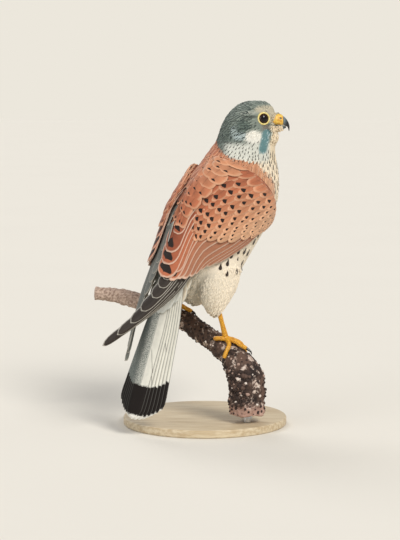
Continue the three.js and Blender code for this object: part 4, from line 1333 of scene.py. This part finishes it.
def makeEyes():
    for side, name in ((-1, "right"), (1, "left")):
        centre = Vector(eyeCentres[0 if side < 0 else 1]) * mm
        bpy.ops.mesh.primitive_uv_sphere_add(segments=40, ring_count=24, radius=eyeAt["radius"] * mm,
                                             location=centre)
        eye = bpy.context.active_object
        eye.name = "eyeball_" + name
        bpy.ops.object.shade_smooth()
        placeInMesh(eye)
        finishPiece(eye, eyeMaterial(side), "eye", "eye_" + name)
        lid = smoothCopy("lid_ring_" + name, ["lid_" + name], 0.3, 4)
        finishPiece(lid, materials["lid"], "bare_skin", "lid_" + name)


makeEyes()


# Bill and cere
def hornMaterial():
    material, tree, bsdf = newMaterial("billHorn")
    place = objectPlace(tree)
    x, _, z = splitVector(tree, place)
    tip = calc(tree, "SUBTRACT", x, calc(tree, "MULTIPLY_ADD", z, 0.35, 0.078 - 0.35 * 0.303))
    grain = noise(tree, place, 900, 3)
    tinted = blendColour(tree, ramp(tree, tip, -0.0005, 0.0055), srgb(112, 126, 130), srgb(26, 28, 32))
    surface(tree, bsdf, shadeWith(tree, tinted, grain, 0.4, 0.8), 0.28)
    bump(tree, bsdf, grain, 0.1, 0.0001)
    return material


materials["horn"] = hornMaterial()
billPieces = {}
for pieceName, nodeName, material, slot in (
    ("cere_skin", "cere", "cere", "bare_skin"), ("bill_hook", "bill_upper", "horn", "horn"),
    ("bill_chin", "bill_lower", "horn", "horn"),
):
    piece = smoothCopy(pieceName, [nodeName], 0.28, 5)
    billPieces[nodeName] = finishPiece(piece, materials[material], slot, nodeName)
loreSkin = scatter(billPieces["cere"], lambda p: behindCere(p + np.array([0.6, 0, 0])) & (p[:, 0] > 66),
                   even(0.9), 4000, 21)
coat("coat_lores", loreSkin, 2.8, 0.6, materials["head"], "slate_plumage", rise=0.2, lift=even(0.55))
chinSkin = scatter(billPieces["bill_lower"], lambda p: (p[:, 0] < 76.5) & (p[:, 2] < 298.3), even(0.9),
                   4000, 22)
coat("coat_chin", chinSkin, 3.4, 0.6, materials["breast"], "cream_plumage", rise=0.25, lift=even(0.8))
report("eyes and bill")


# Legs, feet and claws
def clawMaterial():
    material, tree, bsdf = newMaterial("clawHorn")
    grain = noise(tree, objectPlace(tree), 1500, 3)
    surface(tree, bsdf, blendColour(tree, grain, srgb(18, 16, 16), srgb(52, 46, 44)), 0.25)
    return material


materials["claw"] = clawMaterial()
for side in ("right", "left"):
    for pieceName, nodeName in (("leg_", "tarsus_"), ("toes_", "foot_")):
        piece = smoothCopy(pieceName + side, [nodeName + side], 0.35, 3)
        applyModifier(piece, "DISPLACE", strength=0.25 * mm, mid_level=0)
        finishPiece(piece, materials["legs"], "bare_skin", nodeName + side)
    for toe in ("hind", "outer", "middle", "inner"):
        nodeName = "claw_" + toe + "_" + side
        talon = smoothCopy("talon_" + toe + "_" + side, [nodeName], 0.22, 2)
        finishPiece(talon, materials["claw"], "claw_horn", nodeName)
report("legs and feet")


# Perch
def barkMaterial():
    material, tree, bsdf = newMaterial("barkWithLichen")
    place = objectPlace(tree)
    coarse = noise(tree, place, 60, 6, 0.65)
    fine = noise(tree, place, 420, 5, 0.6)
    lichen = noise(tree, place, 95, 5, 0.6)
    x, _, z = splitVector(tree, place)
    dark = blendColour(tree, ramp(tree, coarse, 0.35, 0.65), srgb(38, 28, 24), srgb(96, 74, 62))
    pale = blendColour(tree, ramp(tree, fine, 0.35, 0.7), srgb(150, 124, 110), srgb(220, 204, 190))
    patches = ramp(tree, calc(tree, "MULTIPLY_ADD", fine, 0.25, lichen), 0.66, 0.74)
    tinted = blendColour(tree, patches, dark, pale)
    bare = blendColour(tree, ramp(tree, fine, 0.3, 0.7), srgb(132, 108, 94), srgb(204, 180, 162))
    tinted = blendColour(tree, ramp(tree, x, -0.03, -0.06), tinted, bare)
    low = calc(tree, "MULTIPLY_ADD", coarse, 0.012, z)
    foot = calc(tree, "MULTIPLY", ramp(tree, low, 0.036, 0.026), 0.8)
    surface(tree, bsdf, blendColour(tree, foot, tinted, srgb(186, 148, 132)), 0.92)
    bump(tree, bsdf, calc(tree, "ADD", fine, calc(tree, "MULTIPLY", coarse, 0.6)), 0.9, 0.0015)
    return material


knobs = {"spacing": (2.1, 4.2), "radius": (0.9, 2.5), "tries": 14000}


def knobMaterial():
    material, tree, bsdf = newMaterial("lichenKnobs")
    mottle = noise(tree, objectPlace(tree), 600, 4)
    surface(tree, bsdf, shadeWith(tree, attribute(tree, "tint"), mottle, 0.9, 0.5), 0.9)
    bump(tree, bsdf, mottle, 0.6, 0.0006)
    return material


def makeKnobs(perch):
    # lichen beads, close together on the lower left of the stub and sparse along the branch
    def spacing(points):
        low = smooth((66 - points[:, 2]) / 10) * smooth((points[:, 2] - 22) / 8)
        return mix(knobs["spacing"][1], knobs["spacing"][0], low * smooth((50 - points[:, 0]) / 14))

    points, normals, gaps = scatter(perch, lambda p: (p[:, 2] > 17.5) & (p[:, 0] > -60), spacing,
                                    knobs["tries"], 31)
    bpy.ops.mesh.primitive_ico_sphere_add(subdivisions=2, radius=1)
    ball = bpy.context.active_object
    corners = np.array([v.co for v in ball.data.vertices])
    faces = np.array([list(p.vertices) for p in ball.data.polygons])
    bpy.data.objects.remove(ball)
    n = len(points)
    radius = rng.uniform(*knobs["radius"], n) * mix(0.5, 1, smooth((6 - gaps) / 4))
    uneven = 1 + 0.25 * rng.normal(0, 1, (n, len(corners), 1)).clip(-1, 1)
    sunk = normals[:, None] * (0.25 * radius)[:, None, None]
    places = points[:, None] - sunk + corners * radius[:, None, None] * uneven
    mesh = bpy.data.meshes.new("lichen_beads")
    index = faces[None] + (np.arange(n) * len(corners))[:, None, None]
    mesh.from_pydata((places.reshape(-1, 3) * mm).tolist(), [], index.reshape(-1, 3).tolist())
    mesh.shade_smooth()
    tones = np.array([srgb(54, 40, 34), srgb(92, 72, 62), srgb(168, 140, 126), srgb(222, 208, 196)])
    pick = rng.choice(4, n, p=[0.58, 0.26, 0.1, 0.06])
    colourField(mesh, "tint", np.repeat(tones[pick], len(corners), axis=0))
    piece = bpy.data.objects.new("lichen_beads", mesh)
    bpy.context.scene.collection.objects.link(piece)
    finishPiece(piece, knobMaterial(), "bark")


def makePerch():
    perch = smoothCopy("branch", ["perch"], 1.1, 2)
    for index, (scale, strength) in enumerate(((0.011, 2.6), (0.0045, 1.7), (0.0022, 0.9))):
        texture = bpy.data.textures.new("knobs" + str(index), "CLOUDS")
        texture.noise_scale = scale
        texture.noise_depth = 2
        applyModifier(perch, "DISPLACE", texture=texture, strength=strength * mm, mid_level=0.55,
                      texture_coords="LOCAL")
    finishPiece(perch, barkMaterial(), "bark", "perch")
    makeKnobs(perch)


makePerch()


# Stand
# radius, rounding of the edge and sides of the turned pieces
standLook = {"base": (82, 1.6, 128), "rod": (5, 0.4, 48)}


def boardMaterial():
    material, tree, bsdf = newMaterial("paleBoard")
    mapping = tree.nodes.new("ShaderNodeMapping")
    mapping.inputs["Scale"].default_value = (4, 60, 60)
    tree.links.new(objectPlace(tree), mapping.inputs["Vector"])
    grain = noise(tree, mapping.outputs[0], 6, 6, 0.6)
    tinted = blendColour(tree, ramp(tree, grain, 0.35, 0.65), srgb(210, 194, 164), srgb(184, 162, 128))
    surface(tree, bsdf, tinted, 0.5)
    bump(tree, bsdf, grain, 0.08, 0.0003)
    return material


def steelMaterial():
    material, tree, bsdf = newMaterial("brushedSteel")
    scratches = noise(tree, objectPlace(tree), 1200, 2)
    surface(tree, bsdf, blendColour(tree, scratches, (0.4, 0.4, 0.4), (0.62, 0.62, 0.62)), 0.35)
    bsdf.inputs["Metallic"].default_value = 1
    return material


def turnedPiece(name, nodeName, radius, edge, sides, material, slot):
    low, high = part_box(nodeName)
    bpy.ops.mesh.primitive_cylinder_add(vertices=sides, radius=radius * mm, depth=high.z - low.z,
                                        location=(low + high) / 2)
    piece = bpy.context.active_object
    piece.name = name
    placeInMesh(piece)
    applyModifier(piece, "BEVEL", width=edge * mm, segments=4, limit_method="ANGLE")
    activate(piece)
    bpy.ops.object.shade_smooth_by_angle(angle=0.6)
    finishPiece(piece, material, slot, nodeName)


turnedPiece("display_base", "stand_base", *standLook["base"], boardMaterial(), "board")
turnedPiece("display_rod", "stand_rod", *standLook["rod"], steelMaterial(), "steel")
report("perch and stand")
